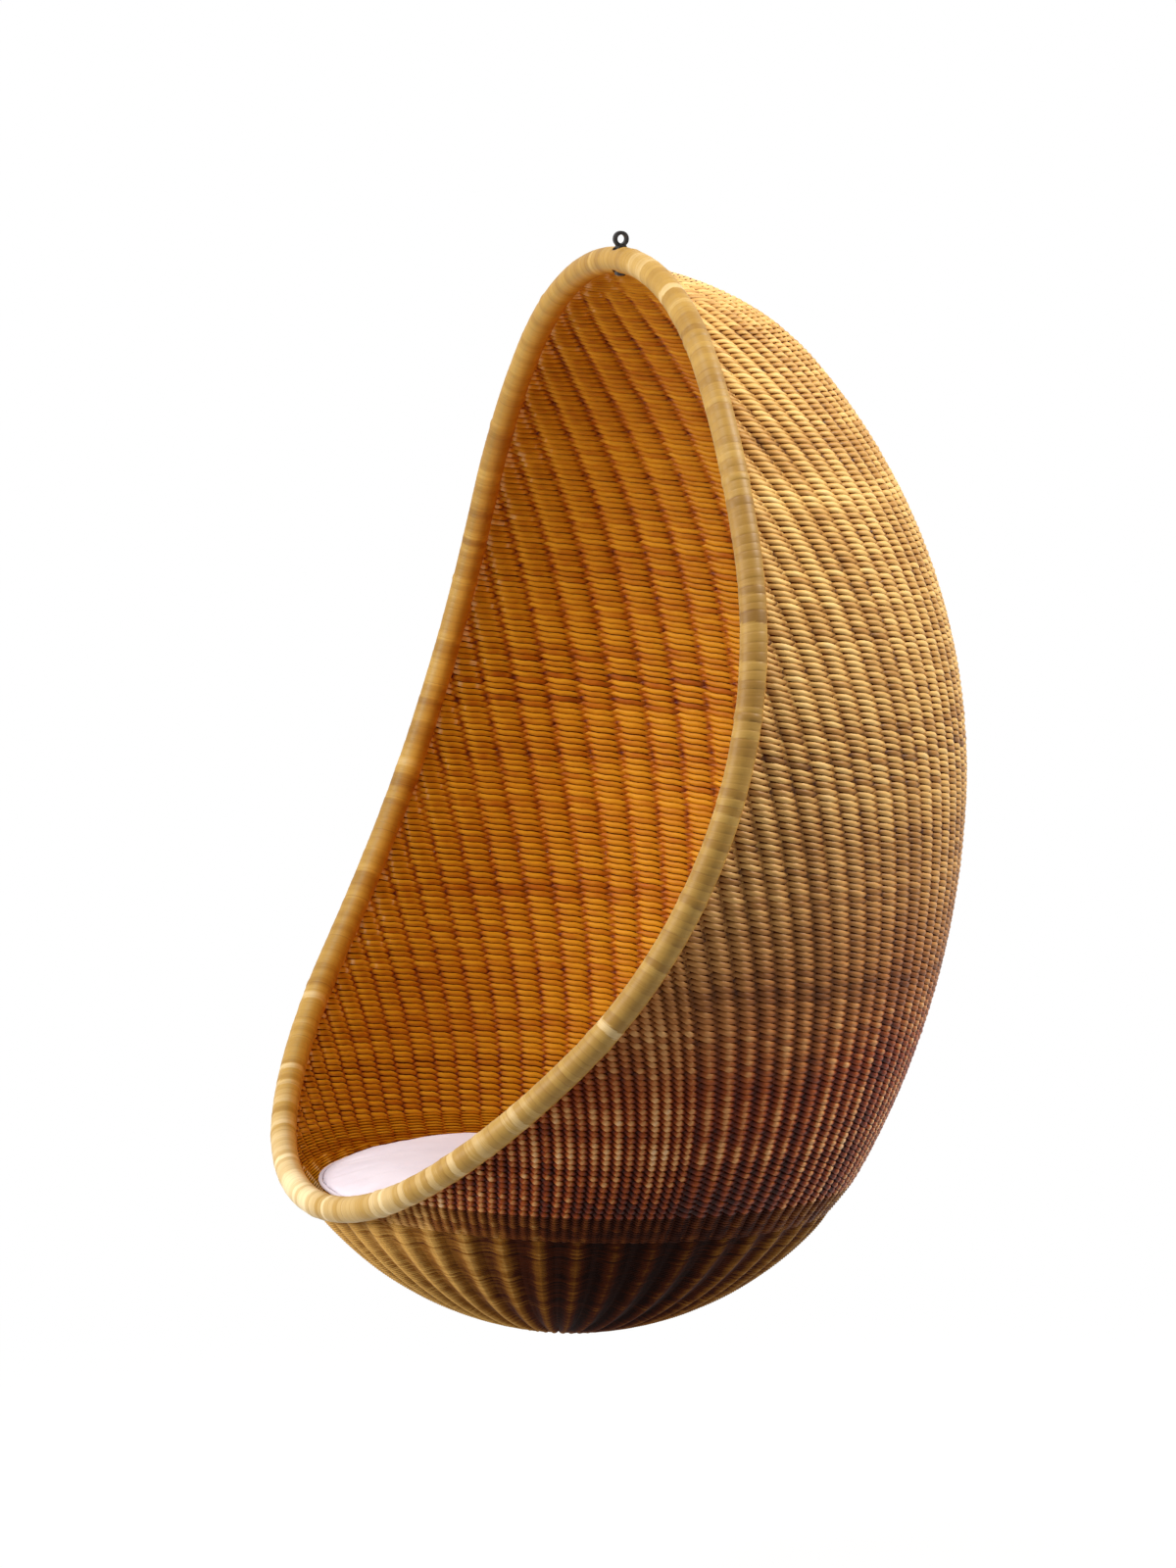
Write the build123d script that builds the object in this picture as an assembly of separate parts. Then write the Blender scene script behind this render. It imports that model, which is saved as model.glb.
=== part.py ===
from build123d import *
import math
import os

os.makedirs("parts", exist_ok=True)

# Egg-shaped hanging chair: woven rattan shell with a wrapped rim, loose round cushion and swivel hanger.
# Millimetres and degrees. Front is -Y, up is +Z, the origin is the centre of the hanging eye's bore.

# Egg: an oval of four arcs turned about its own axis, which leans back by a small angle
EGG_HEIGHT = 1231.0
WIDEST_RADIUS = 439.0
WIDEST_HEIGHT = 634.0
BASE_ARC_RADIUS = 383.0
CROWN_ARC_RADIUS = 339.0
EGG_LEAN = 3.53

# Mouth, seen from the side: upright at the top, one long bend, then straight down to the front lip
MOUTH_SETBACK = 21.0
MOUTH_BEND_HEIGHT = 931.0
MOUTH_BEND_RADIUS = 969.0
MOUTH_LIP_SLOPE = 35.0

# Rim: one bent pole, wound with flat peel
RIM_POLE_DIAMETER = 26.6
WRAP_THICKNESS = 1.8
WRAP_FIT = 0.1
RIM_SEAT_GAP = 0.3
RIM_INSET = 1.0
RIM_RUNS_PER_SIDE = 18

# Woven wall: weavers pass outside and inside the upright stakes
WEAVER_DIAMETER = 3.2
STAKE_DIAMETER = 5.0
BASE_STICK_DIAMETER = 8.0
STAKE_FIT = 0.2
STAKE_COUNT = 88
BASE_STICK_COUNT = 44
STAKE_CROWDING = 1.3
STAKE_LEAST_LENGTH = 30.0
COURSE_GAP = 0.2
BASE_DISC_RADIUS = 66.0

# Heights, along the outside of the egg, where the weaving stages change
BAND_BOTTOM = 158.0
BAND_TOP = 190.0
LOWER_TOP = 400.0
MIDDLE_TOP = 640.0
UPPER_TOP = 930.0

# Cushion: crowned top, drawn-in side, bottom edge bedded on the bowl
CUSHION_WALL_ROOM = 7.8
CUSHION_EDGE_HEIGHT = 164.0
CUSHION_CROWN = 26.0
CUSHION_BED_STEP = 18.0
CUSHION_BED_WIDTH = 62.0
CUSHION_SAG = 6.0
CUSHION_SIDE_DRAW = 4.0
CUSHION_CLEARANCE = 0.5
COVER_THICKNESS = 1.5
FOAM_FIT = 0.3
WELT_DIAMETER = 7.0
WELT_FIT = 0.2

# Hanger: eye link, clevis pin, swivel stem through a flanged bush let into the top of the rim
EYE_BORE_DIAMETER = 10.0
EYE_WALL = 4.0
EYE_PLATE_THICKNESS = 5.0
EYE_TO_PIN = 10.0
PIN_DIAMETER = 4.0
PIN_LUG_RADIUS = 5.0
RUNNING_FIT = 0.05
FORK_CHEEK = 3.0
FORK_SIDE_GAP = 0.3
FORK_BASE_DIAMETER = 15.0
FORK_BASE_THICKNESS = 3.0
FORK_LUG_GAP = 0.8
PIN_HEAD_DIAMETER = 6.0
PIN_HEAD_THICKNESS = 1.5
PIN_TAIL = 2.2
PIN_RING_THICKNESS = 0.8
PIN_RING_OFFSET = 0.4
PIN_GROOVE_DEPTH = 0.5
PIN_END_GAP = 0.1
STEM_DIAMETER = 8.0
BUSH_WALL = 2.0
BUSH_FLANGE_DIAMETER = 18.0
BUSH_FLANGE_THICKNESS = 2.5
FLANGE_SINK = 11.2
FLANGE_FIT = 0.2
THRUST_WASHER_DIAMETER = 16.0
THRUST_WASHER_THICKNESS = 1.2
LOAD_WASHER_DIAMETER = 18.0
LOAD_WASHER_THICKNESS = 2.0
LOAD_SINK = 9.2
AXIAL_PLAY = 0.15
NUT_PLAY = 0.1
THREAD_FIT = 0.05
NUT_ACROSS_FLATS = 13.0
NUT_HEIGHT = 6.0
STEM_TAIL = 1.0

# Worked-out sizes
SIDE_WALL = 2 * WEAVER_DIAMETER + STAKE_DIAMETER + 2 * STAKE_FIT
BASE_WALL = 2 * WEAVER_DIAMETER + BASE_STICK_DIAMETER + 2 * STAKE_FIT
STAKE_LINE = -(WEAVER_DIAMETER + STAKE_FIT + STAKE_DIAMETER / 2)
BASE_STICK_LINE = -(WEAVER_DIAMETER + STAKE_FIT + BASE_STICK_DIAMETER / 2)
WRAP_INNER_RADIUS = RIM_POLE_DIAMETER / 2 + WRAP_FIT
RIM_RADIUS = WRAP_INNER_RADIUS + WRAP_THICKNESS
MOUTH_CUT_BACK = RIM_RADIUS + RIM_SEAT_GAP
LOWER_SIDE_RADIUS = (
    (WIDEST_RADIUS**2 + (WIDEST_HEIGHT - BASE_ARC_RADIUS) ** 2 - BASE_ARC_RADIUS**2)
    / (2 * (WIDEST_RADIUS - BASE_ARC_RADIUS))
)
CROWN_CENTRE_HEIGHT = EGG_HEIGHT - CROWN_ARC_RADIUS
UPPER_SIDE_RADIUS = (
    (WIDEST_RADIUS**2 + (CROWN_CENTRE_HEIGHT - WIDEST_HEIGHT) ** 2 - CROWN_ARC_RADIUS**2)
    / (2 * (WIDEST_RADIUS - CROWN_ARC_RADIUS))
)
BASE_JOINT = math.degrees(
    math.atan2(LOWER_SIDE_RADIUS - WIDEST_RADIUS, WIDEST_HEIGHT - BASE_ARC_RADIUS)
)
CROWN_JOINT = math.degrees(
    math.atan2(UPPER_SIDE_RADIUS - WIDEST_RADIUS, WIDEST_HEIGHT - CROWN_CENTRE_HEIGHT)
)

# Each arc of the oval: centre radius, centre height, arc radius, first and last angle of its outward
# normal, counted from straight down
OVAL_ARCS = [
    (0.0, BASE_ARC_RADIUS, BASE_ARC_RADIUS, 0.0, BASE_JOINT),
    (WIDEST_RADIUS - LOWER_SIDE_RADIUS, WIDEST_HEIGHT, LOWER_SIDE_RADIUS, BASE_JOINT, 90.0),
    (WIDEST_RADIUS - UPPER_SIDE_RADIUS, WIDEST_HEIGHT, UPPER_SIDE_RADIUS, 90.0, CROWN_JOINT),
    (0.0, CROWN_CENTRE_HEIGHT, CROWN_ARC_RADIUS, CROWN_JOINT, 180.0),
]


def sine(angle):
    return math.sin(math.radians(angle))


def cosine(angle):
    return math.cos(math.radians(angle))


def oval_at(angle, offset):
    """Radius and height on the oval, moved out by offset, where its normal has this angle."""
    for centre_r, centre_z, arc_radius, first, last in OVAL_ARCS:
        if angle <= last:
            break
    reach = arc_radius + offset
    return centre_r + reach * sine(angle), centre_z - reach * cosine(angle)


def angle_at_height(height):
    """Angle of the normal at this height on the outside of the egg."""
    for centre_r, centre_z, arc_radius, first, last in OVAL_ARCS:
        share = max(-1.0, min(1.0, (centre_z - height) / arc_radius))
        angle = math.degrees(math.acos(share))
        if first - 1e-9 <= angle <= last + 1e-9:
            break
    return angle


def oval_spans(first, last):
    """The angles from first to last, split where one arc of the oval meets the next."""
    joints = [arc[4] for arc in OVAL_ARCS if first < arc[4] < last]
    stops = [first, *joints, last]
    return list(zip(stops, stops[1:]))


def oval_edges(first, last, offset, turn=None):
    """Arcs along the oval, in the XZ plane or in the upright plane at azimuth turn from the front."""

    def place(angle):
        radius, height = oval_at(angle, offset)
        if turn is None:
            return (radius, 0, height)
        return (radius * sine(turn), -radius * cosine(turn), height)

    return [
        Edge.make_three_point_arc(place(a), place((a + b) / 2), place(b))
        for a, b in oval_spans(first, last)
    ]


def gap_angle(angle, gap):
    """Angle that a short gap takes up along the oval."""
    for _, _, arc_radius, _, last in OVAL_ARCS:
        if angle <= last:
            break
    return math.degrees(gap / arc_radius)


def shell_between(first, last, outer, inner):
    """Part of the turned wall between two normals and two offsets."""
    outer_run = oval_edges(first, last, outer)
    inner_run = oval_edges(first, last, inner)
    bottom = Edge.make_line(inner_run[0] @ 0, outer_run[0] @ 0)
    top = Edge.make_line(outer_run[-1] @ 1, inner_run[-1] @ 1)
    outline = Wire([*outer_run, top, *inner_run, bottom])
    return revolve(Face(outline), Axis.Z, 360)


def mouth_side(height):
    """How far back the mouth lies at this height."""
    slope_end = MOUTH_BEND_HEIGHT - MOUTH_BEND_RADIUS * sine(MOUTH_LIP_SLOPE)
    if height >= MOUTH_BEND_HEIGHT:
        return MOUTH_SETBACK
    if height >= slope_end:
        drop = MOUTH_BEND_HEIGHT - height
        return MOUTH_SETBACK - MOUTH_BEND_RADIUS + math.sqrt(MOUTH_BEND_RADIUS**2 - drop**2)
    end_back = MOUTH_SETBACK - MOUTH_BEND_RADIUS * (1 - cosine(MOUTH_LIP_SLOPE))
    return end_back - (slope_end - height) * math.tan(math.radians(MOUTH_LIP_SLOPE))


def mouth_cutter(back):
    """Everything in front of the mouth, moved back square to the mouth by this much."""
    far = 2 * EGG_HEIGHT
    bend_centre = MOUTH_SETBACK - MOUTH_BEND_RADIUS
    radius = MOUTH_BEND_RADIUS + back

    def on_bend(angle):
        return (0, bend_centre + radius * cosine(angle), MOUTH_BEND_HEIGHT - radius * sine(angle))

    top = (0, MOUTH_SETBACK + back, far)
    bend_top = on_bend(0)
    bend_end = on_bend(MOUTH_LIP_SLOPE)
    foot = (0, bend_end[1] - far * sine(MOUTH_LIP_SLOPE), bend_end[2] - far * cosine(MOUTH_LIP_SLOPE))
    front_foot = (0, -2 * far, foot[2])
    front_top = (0, -2 * far, far)
    outline = Wire(
        [
            Edge.make_line(top, bend_top),
            Edge.make_three_point_arc(bend_top, on_bend(MOUTH_LIP_SLOPE / 2), bend_end),
            Edge.make_line(bend_end, foot),
            Edge.make_line(foot, front_foot),
            Edge.make_line(front_foot, front_top),
            Edge.make_line(front_top, top),
        ]
    )
    return extrude(Face(outline), WIDEST_RADIUS * 2, dir=(1, 0, 0), both=True)


MOUTH_CUTTER = mouth_cutter(MOUTH_CUT_BACK)


def rim_half_spread(angle):
    """Square of the rim's distance from the middle plane, where it crosses this normal."""
    radius, height = oval_at(angle, -RIM_INSET)
    return radius**2 - mouth_side(height) ** 2


def rim_end_angle(inside, outside):
    """Normal at which the rim crosses the middle plane, between one on the rim and one off it."""
    for _ in range(60):
        middle = (inside + outside) / 2
        if rim_half_spread(middle) > 0:
            inside = middle
        else:
            outside = middle
    return inside


def rim_curve(samples=600):
    """Points of the rim's right half, from the front lip over the side to the top."""
    lip = rim_end_angle(90.0, 1.0)
    top = rim_end_angle(90.0, 179.99)
    points = []
    for step in range(samples + 1):
        share = (1 - math.cos(math.pi * step / samples)) / 2
        angle = lip + (top - lip) * share
        radius, height = oval_at(angle, -RIM_INSET)
        spread = math.sqrt(max(0.0, rim_half_spread(angle)))
        points.append((spread, mouth_side(height), height))
    return points


def evenly_along(points, runs):
    """Points in the middle of equal runs along a dense line of points."""
    reach = [0.0]
    for a, b in zip(points, points[1:]):
        reach.append(reach[-1] + math.dist(a, b))
    picked = []
    index = 0
    for run in range(runs):
        target = reach[-1] * (run + 0.5) / runs
        while reach[index + 1] < target:
            index += 1
        share = (target - reach[index]) / (reach[index + 1] - reach[index])
        picked.append(tuple(p + (q - p) * share for p, q in zip(points[index], points[index + 1])))
    return picked


RIM_CURVE = rim_curve()


def rim_path():
    """The rim's centre line: straight runs with the largest tangent arcs that fit."""
    right = evenly_along(RIM_CURVE, RIM_RUNS_PER_SIDE)
    left = [(-x, y, z) for x, y, z in reversed(right)]
    corners = [Vector(*p) for p in right + left]
    count = len(corners)
    radii = []
    for i in range(count):
        before = corners[i] - corners[i - 1]
        after = corners[(i + 1) % count] - corners[i]
        shorter = min(before.length, after.length)
        radii.append(0.45 * shorter / math.tan(math.radians(before.get_angle(after)) / 2))
    return FilletPolyline(*corners, radius=radii, close=True)


RIM_PATH = rim_path()
RIM_SAMPLES = 800
RIM_POINTS = [tuple(RIM_PATH @ (index / RIM_SAMPLES)) for index in range(RIM_SAMPLES)]
RIM_TOP = Vector(0, RIM_CURVE[-1][1], max(p.Z for p in RIM_PATH.vertices()))


def rim_tube(radius, bore=0.0):
    """Tube round the rim's centre line."""
    section = Circle(radius)
    if bore:
        section -= Circle(bore)
    return sweep(Plane(RIM_PATH @ 0, z_dir=RIM_PATH % 0) * section, path=RIM_PATH)


def last_angle_clear_of_rim(turn, offset, first, last, diameter):
    """Where an upright stick at this azimuth has to stop to stay clear of the wrapped rim."""
    limit = RIM_RADIUS + RIM_SEAT_GAP + diameter / 2
    step = 0.25
    angle = first
    while angle + step <= last:
        radius, height = oval_at(angle + step, offset)
        tip = (radius * abs(sine(turn)), -radius * cosine(turn), height)
        if tip[1] < mouth_side(height) + diameter / 2:
            break
        if min(math.dist(tip, p) for p in RIM_POINTS) < limit:
            break
        angle += step
    return angle


def stick(turn, offset, first, last, diameter):
    """Round stick that follows the wall in an upright plane."""
    path = Wire(oval_edges(first, last, offset, turn))
    return sweep(Plane(path @ 0, z_dir=path % 0) * Circle(diameter / 2), path=path)


def crowded_at(spacing_count, diameter):
    """Highest normal at which this many sticks still stand side by side."""
    radius = spacing_count * diameter * STAKE_CROWDING / (2 * math.pi)
    return 180 - math.degrees(math.asin(radius / CROWN_ARC_RADIUS))


BAND_LOW_ANGLE = angle_at_height(BAND_BOTTOM)
BAND_HIGH_ANGLE = angle_at_height(BAND_TOP)


def make_stakes():
    """Side stakes as (azimuth, solid), from the upsett band up to the rim."""
    stakes = []
    first = BAND_HIGH_ANGLE + gap_angle(BAND_HIGH_ANGLE, COURSE_GAP)
    for index in range(STAKE_COUNT):
        turn = 360.0 * (index + 0.5) / STAKE_COUNT
        neighbours = STAKE_COUNT if index % 2 else STAKE_COUNT // 2 if index % 4 else STAKE_COUNT // 4
        last = last_angle_clear_of_rim(
            turn, STAKE_LINE, first, crowded_at(neighbours, STAKE_DIAMETER), STAKE_DIAMETER
        )
        if last - first > gap_angle(first, STAKE_LEAST_LENGTH):
            stakes.append((turn, stick(turn, STAKE_LINE, first, last, STAKE_DIAMETER)))
    return stakes


def make_base_sticks():
    """Thick sticks from the base disc out to the upsett band or the front lip."""
    line_radius = BASE_ARC_RADIUS + BASE_STICK_LINE
    first = math.degrees(math.asin((BASE_DISC_RADIUS + STAKE_FIT) / line_radius))
    end = BAND_LOW_ANGLE - gap_angle(BAND_LOW_ANGLE, COURSE_GAP)
    sticks = []
    for index in range(BASE_STICK_COUNT):
        turn = 360.0 * (index + 0.5) / BASE_STICK_COUNT
        last = last_angle_clear_of_rim(turn, BASE_STICK_LINE, first, end, BASE_STICK_DIAMETER)
        if end - last < 0.3:
            last = end
        sticks.append(stick(turn, BASE_STICK_LINE, first, last, BASE_STICK_DIAMETER))
    return sticks


def weave(low, high, wall):
    """Outer and inner faces of the weave between two normals, either side of the stakes."""
    first = low + gap_angle(low, COURSE_GAP)
    outside = shell_between(first, high, 0, -WEAVER_DIAMETER) - MOUTH_CUTTER
    inside = shell_between(first, high, WEAVER_DIAMETER - wall, -wall) - MOUTH_CUTTER
    return outside, inside


def dome_edge(radius, edge_height, middle_height):
    """Arc centred on the egg's axis, from the axis out to an edge."""
    rise = middle_height - edge_height
    ball = (radius**2 + rise**2) / (2 * rise)
    half = math.asin(radius / ball) / 2
    between = (ball * math.sin(half), 0, middle_height - ball + ball * math.cos(half))
    return Edge.make_three_point_arc((0, 0, middle_height), between, (radius, 0, edge_height))


# Bowl that the cushion lies in, and the cushion's circles in it
CUSHION_BOWL = BASE_ARC_RADIUS - BASE_WALL - CUSHION_CLEARANCE
WELT_RADIUS = (
    math.sqrt(CUSHION_BOWL**2 - (BASE_ARC_RADIUS - CUSHION_EDGE_HEIGHT) ** 2)
    - CUSHION_WALL_ROOM
    - WELT_DIAMETER / 2
)
CUSHION_TOP_RADIUS = WELT_RADIUS - WELT_DIAMETER / 2 - WELT_FIT
CUSHION_BED_RADIUS = CUSHION_TOP_RADIUS - CUSHION_BED_STEP
CUSHION_FLAT_RADIUS = CUSHION_BED_RADIUS - CUSHION_BED_WIDTH


def cushion_solid(inset):
    """Turned cushion, with its whole surface drawn in by inset."""
    bowl = CUSHION_BOWL - inset

    def on_bowl(radius):
        return (radius, 0, BASE_ARC_RADIUS - math.sqrt(bowl**2 - radius**2))

    flat_edge = on_bowl(CUSHION_FLAT_RADIUS)
    bed_edge = on_bowl(CUSHION_BED_RADIUS - inset)
    bed_middle = on_bowl((CUSHION_FLAT_RADIUS + CUSHION_BED_RADIUS - inset) / 2)
    top_edge = (CUSHION_TOP_RADIUS - inset, 0, CUSHION_EDGE_HEIGHT - inset / 2)
    side_middle = (
        (bed_edge[0] + top_edge[0]) / 2 - CUSHION_SIDE_DRAW,
        0,
        (bed_edge[2] + top_edge[2]) / 2,
    )
    bottom = flat_edge[2] - CUSHION_SAG
    crown = CUSHION_EDGE_HEIGHT + CUSHION_CROWN - inset
    outline = Wire(
        [
            dome_edge(flat_edge[0], flat_edge[2], bottom),
            Edge.make_three_point_arc(flat_edge, bed_middle, bed_edge),
            Edge.make_three_point_arc(bed_edge, side_middle, top_edge),
            dome_edge(top_edge[0], top_edge[2], crown),
            Edge.make_line((0, 0, crown), (0, 0, bottom)),
        ]
    )
    return revolve(Face(outline), Axis.Z, 360)


def upright_cylinder(diameter, low, high):
    """Cylinder about the swivel axis, between two heights above the rim's centre line."""
    return Pos(0, 0, low) * Cylinder(diameter / 2, high - low, align=(Align.CENTER, Align.CENTER, Align.MIN))


# Heights of the hanger, above the rim's centre line
FLANGE_SEAT = RIM_RADIUS - FLANGE_SINK
FLANGE_TOP = FLANGE_SEAT + BUSH_FLANGE_THICKNESS
WASHER_TOP = FLANGE_TOP + THRUST_WASHER_THICKNESS
FORK_FOOT = WASHER_TOP + AXIAL_PLAY
FORK_FLOOR = FORK_FOOT + FORK_BASE_THICKNESS
PIN_HEIGHT = FORK_FLOOR + FORK_LUG_GAP + PIN_LUG_RADIUS
EYE_HEIGHT = PIN_HEIGHT + EYE_TO_PIN
LOAD_SEAT = LOAD_SINK - RIM_RADIUS
LOAD_FOOT = LOAD_SEAT - LOAD_WASHER_THICKNESS
NUT_TOP = LOAD_FOOT - NUT_PLAY
NUT_FOOT = NUT_TOP - NUT_HEIGHT
CHEEK_INNER = EYE_PLATE_THICKNESS / 2 + FORK_SIDE_GAP
CHEEK_OUTER = CHEEK_INNER + FORK_CHEEK
PIN_REACH = CHEEK_OUTER + PIN_END_GAP
BUSH_OUTER = STEM_DIAMETER + 2 * RUNNING_FIT + 2 * BUSH_WALL


def cross_cylinder(diameter, height, left, right):
    """Cylinder along X between two places, at a height above the rim's centre line."""
    rod = Rot(0, 90, 0) * Cylinder(diameter / 2, right - left)
    return Pos((left + right) / 2, 0, height) * rod


def make_hanger():
    """Hanger pieces, placed on the swivel axis above the rim's centre line."""
    pieces = {}
    half = EYE_PLATE_THICKNESS / 2
    eye_radius = EYE_BORE_DIAMETER / 2 + EYE_WALL
    eye_disc = cross_cylinder(2 * eye_radius, EYE_HEIGHT, -half, half)
    lug_disc = cross_cylinder(2 * PIN_LUG_RADIUS, PIN_HEIGHT, -half, half)
    neck = Pos(0, 0, (EYE_HEIGHT + PIN_HEIGHT) / 2) * Box(
        EYE_PLATE_THICKNESS, 2 * PIN_LUG_RADIUS, EYE_TO_PIN
    )
    eye = eye_disc + lug_disc + neck
    eye -= cross_cylinder(EYE_BORE_DIAMETER, EYE_HEIGHT, -2 * half, 2 * half)
    eye -= cross_cylinder(PIN_DIAMETER + 2 * RUNNING_FIT, PIN_HEIGHT, -2 * half, 2 * half)
    pieces["hanging_eye"] = eye

    fork = upright_cylinder(FORK_BASE_DIAMETER, FORK_FOOT, FORK_FLOOR)
    fork += upright_cylinder(STEM_DIAMETER, NUT_FOOT - STEM_TAIL, FORK_FOOT)
    for side in (-1, 1):
        centre = side * (CHEEK_INNER + CHEEK_OUTER) / 2
        cheek = cross_cylinder(2 * PIN_LUG_RADIUS, PIN_HEIGHT, centre - FORK_CHEEK / 2, centre + FORK_CHEEK / 2)
        cheek += Pos(centre, 0, (FORK_FLOOR + PIN_HEIGHT) / 2) * Box(
            FORK_CHEEK, 2 * PIN_LUG_RADIUS, PIN_HEIGHT - FORK_FLOOR
        )
        fork += cheek
    fork -= cross_cylinder(PIN_DIAMETER + 2 * RUNNING_FIT, PIN_HEIGHT, -2 * CHEEK_OUTER, 2 * CHEEK_OUTER)
    pieces["swivel_stem"] = fork

    groove_start = -PIN_REACH - PIN_RING_OFFSET - PIN_RING_THICKNESS
    groove_end = -PIN_REACH - PIN_RING_OFFSET
    groove_diameter = PIN_DIAMETER - 2 * PIN_GROOVE_DEPTH
    pin = cross_cylinder(PIN_DIAMETER, PIN_HEIGHT, -PIN_REACH - PIN_TAIL, PIN_REACH)
    pin += cross_cylinder(PIN_HEAD_DIAMETER, PIN_HEIGHT, PIN_REACH, PIN_REACH + PIN_HEAD_THICKNESS)
    groove = cross_cylinder(PIN_HEAD_DIAMETER, PIN_HEIGHT, groove_start, groove_end)
    groove -= cross_cylinder(groove_diameter, PIN_HEIGHT, groove_start, groove_end)
    pieces["clevis_pin"] = pin - groove
    ring = cross_cylinder(PIN_HEAD_DIAMETER, PIN_HEIGHT, groove_start, groove_end)
    ring -= cross_cylinder(groove_diameter + 2 * RUNNING_FIT, PIN_HEIGHT, groove_start, groove_end)
    pieces["pin_retaining_ring"] = ring

    washer = upright_cylinder(THRUST_WASHER_DIAMETER, FLANGE_TOP, WASHER_TOP)
    pieces["thrust_washer"] = washer - upright_cylinder(STEM_DIAMETER + 2 * RUNNING_FIT, FLANGE_TOP, WASHER_TOP)

    bush = upright_cylinder(BUSH_OUTER, LOAD_SEAT, FLANGE_SEAT)
    bush += upright_cylinder(BUSH_FLANGE_DIAMETER, FLANGE_SEAT, FLANGE_TOP)
    pieces["swivel_bush"] = bush - upright_cylinder(STEM_DIAMETER + 2 * RUNNING_FIT, LOAD_SEAT, FLANGE_TOP)

    load = upright_cylinder(LOAD_WASHER_DIAMETER, LOAD_FOOT, LOAD_SEAT)
    pieces["load_washer"] = load - upright_cylinder(STEM_DIAMETER + 2 * RUNNING_FIT, LOAD_FOOT, LOAD_SEAT)

    hexagon = RegularPolygon(NUT_ACROSS_FLATS / 2, 6, major_radius=False)
    nut = Pos(0, 0, NUT_FOOT) * extrude(hexagon, NUT_HEIGHT)
    pieces["lock_nut"] = nut - upright_cylinder(STEM_DIAMETER + 2 * THREAD_FIT, NUT_FOOT, NUT_TOP)
    return pieces


def hanger_pocket():
    """Room that the bush, its flange and the load washer take out of the rim."""
    pocket = upright_cylinder(BUSH_OUTER + 2 * FLANGE_FIT, -2 * RIM_RADIUS, 2 * RIM_RADIUS)
    pocket += upright_cylinder(BUSH_FLANGE_DIAMETER + 2 * FLANGE_FIT, FLANGE_SEAT, 2 * RIM_RADIUS)
    pocket += upright_cylinder(LOAD_WASHER_DIAMETER + 2 * FLANGE_FIT, -2 * RIM_RADIUS, LOAD_SEAT)
    return pocket


# From the egg's own axis to the hanging position: lean back, then bring the eye to the origin
LEAN = Rot(-EGG_LEAN, 0, 0)
HANG_POINT = (LEAN * Pos(RIM_TOP)).position
TO_SWIVEL = Pos(-HANG_POINT.X, -HANG_POINT.Y, -HANG_POINT.Z - EYE_HEIGHT)
TO_EYE = Pos(0, 0, -EYE_HEIGHT)
EGG_PLACE = TO_SWIVEL * LEAN

nodes = {}

pocket = TO_EYE * hanger_pocket()
nodes["rim_pole"] = EGG_PLACE * rim_tube(RIM_POLE_DIAMETER / 2) - pocket
nodes["rim_wrap"] = EGG_PLACE * rim_tube(RIM_RADIUS, WRAP_INNER_RADIUS) - pocket

disc_edge = math.degrees(math.asin(BASE_DISC_RADIUS / BASE_ARC_RADIUS))
nodes["base_disc"] = EGG_PLACE * shell_between(0.0, disc_edge, 0, -BASE_WALL)
nodes["base_sticks"] = EGG_PLACE * Compound(make_base_sticks())
band = shell_between(BAND_LOW_ANGLE, BAND_HIGH_ANGLE, 0, -BASE_WALL) - MOUTH_CUTTER
nodes["upsett_band"] = EGG_PLACE * band

STAGES = [
    ("base", disc_edge, BAND_LOW_ANGLE - gap_angle(BAND_LOW_ANGLE, COURSE_GAP), BASE_WALL),
    ("lower", BAND_HIGH_ANGLE, angle_at_height(LOWER_TOP), SIDE_WALL),
    ("middle", angle_at_height(LOWER_TOP), angle_at_height(MIDDLE_TOP), SIDE_WALL),
    ("upper", angle_at_height(MIDDLE_TOP), angle_at_height(UPPER_TOP), SIDE_WALL),
    ("crown", angle_at_height(UPPER_TOP), 180.0, SIDE_WALL),
]
for stage, low, high, wall in STAGES:
    outside, inside = weave(low, high, wall)
    nodes[stage + "_weave_outside"] = EGG_PLACE * outside
    nodes[stage + "_weave_inside"] = EGG_PLACE * inside

STAKE_SIDES = ["right_stakes", "back_stakes", "left_stakes"]
stakes = make_stakes()
for index, name in enumerate(STAKE_SIDES):
    third = 360.0 / len(STAKE_SIDES)
    group = [solid for turn, solid in stakes if index * third <= turn < (index + 1) * third]
    nodes[name] = EGG_PLACE * Compound(group)

nodes["cushion_cover"] = EGG_PLACE * (cushion_solid(0.0) - cushion_solid(COVER_THICKNESS))
nodes["cushion_foam"] = EGG_PLACE * cushion_solid(COVER_THICKNESS + FOAM_FIT)
nodes["cushion_welt"] = EGG_PLACE * Pos(0, 0, CUSHION_EDGE_HEIGHT) * Torus(WELT_RADIUS, WELT_DIAMETER / 2)

for name, solid in make_hanger().items():
    nodes[name] = TO_EYE * solid

for name, shape in nodes.items():
    export_step(shape, "parts/" + name + ".step")
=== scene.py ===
import math

import bpy
import numpy as np
from mathutils import Matrix, Vector


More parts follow.
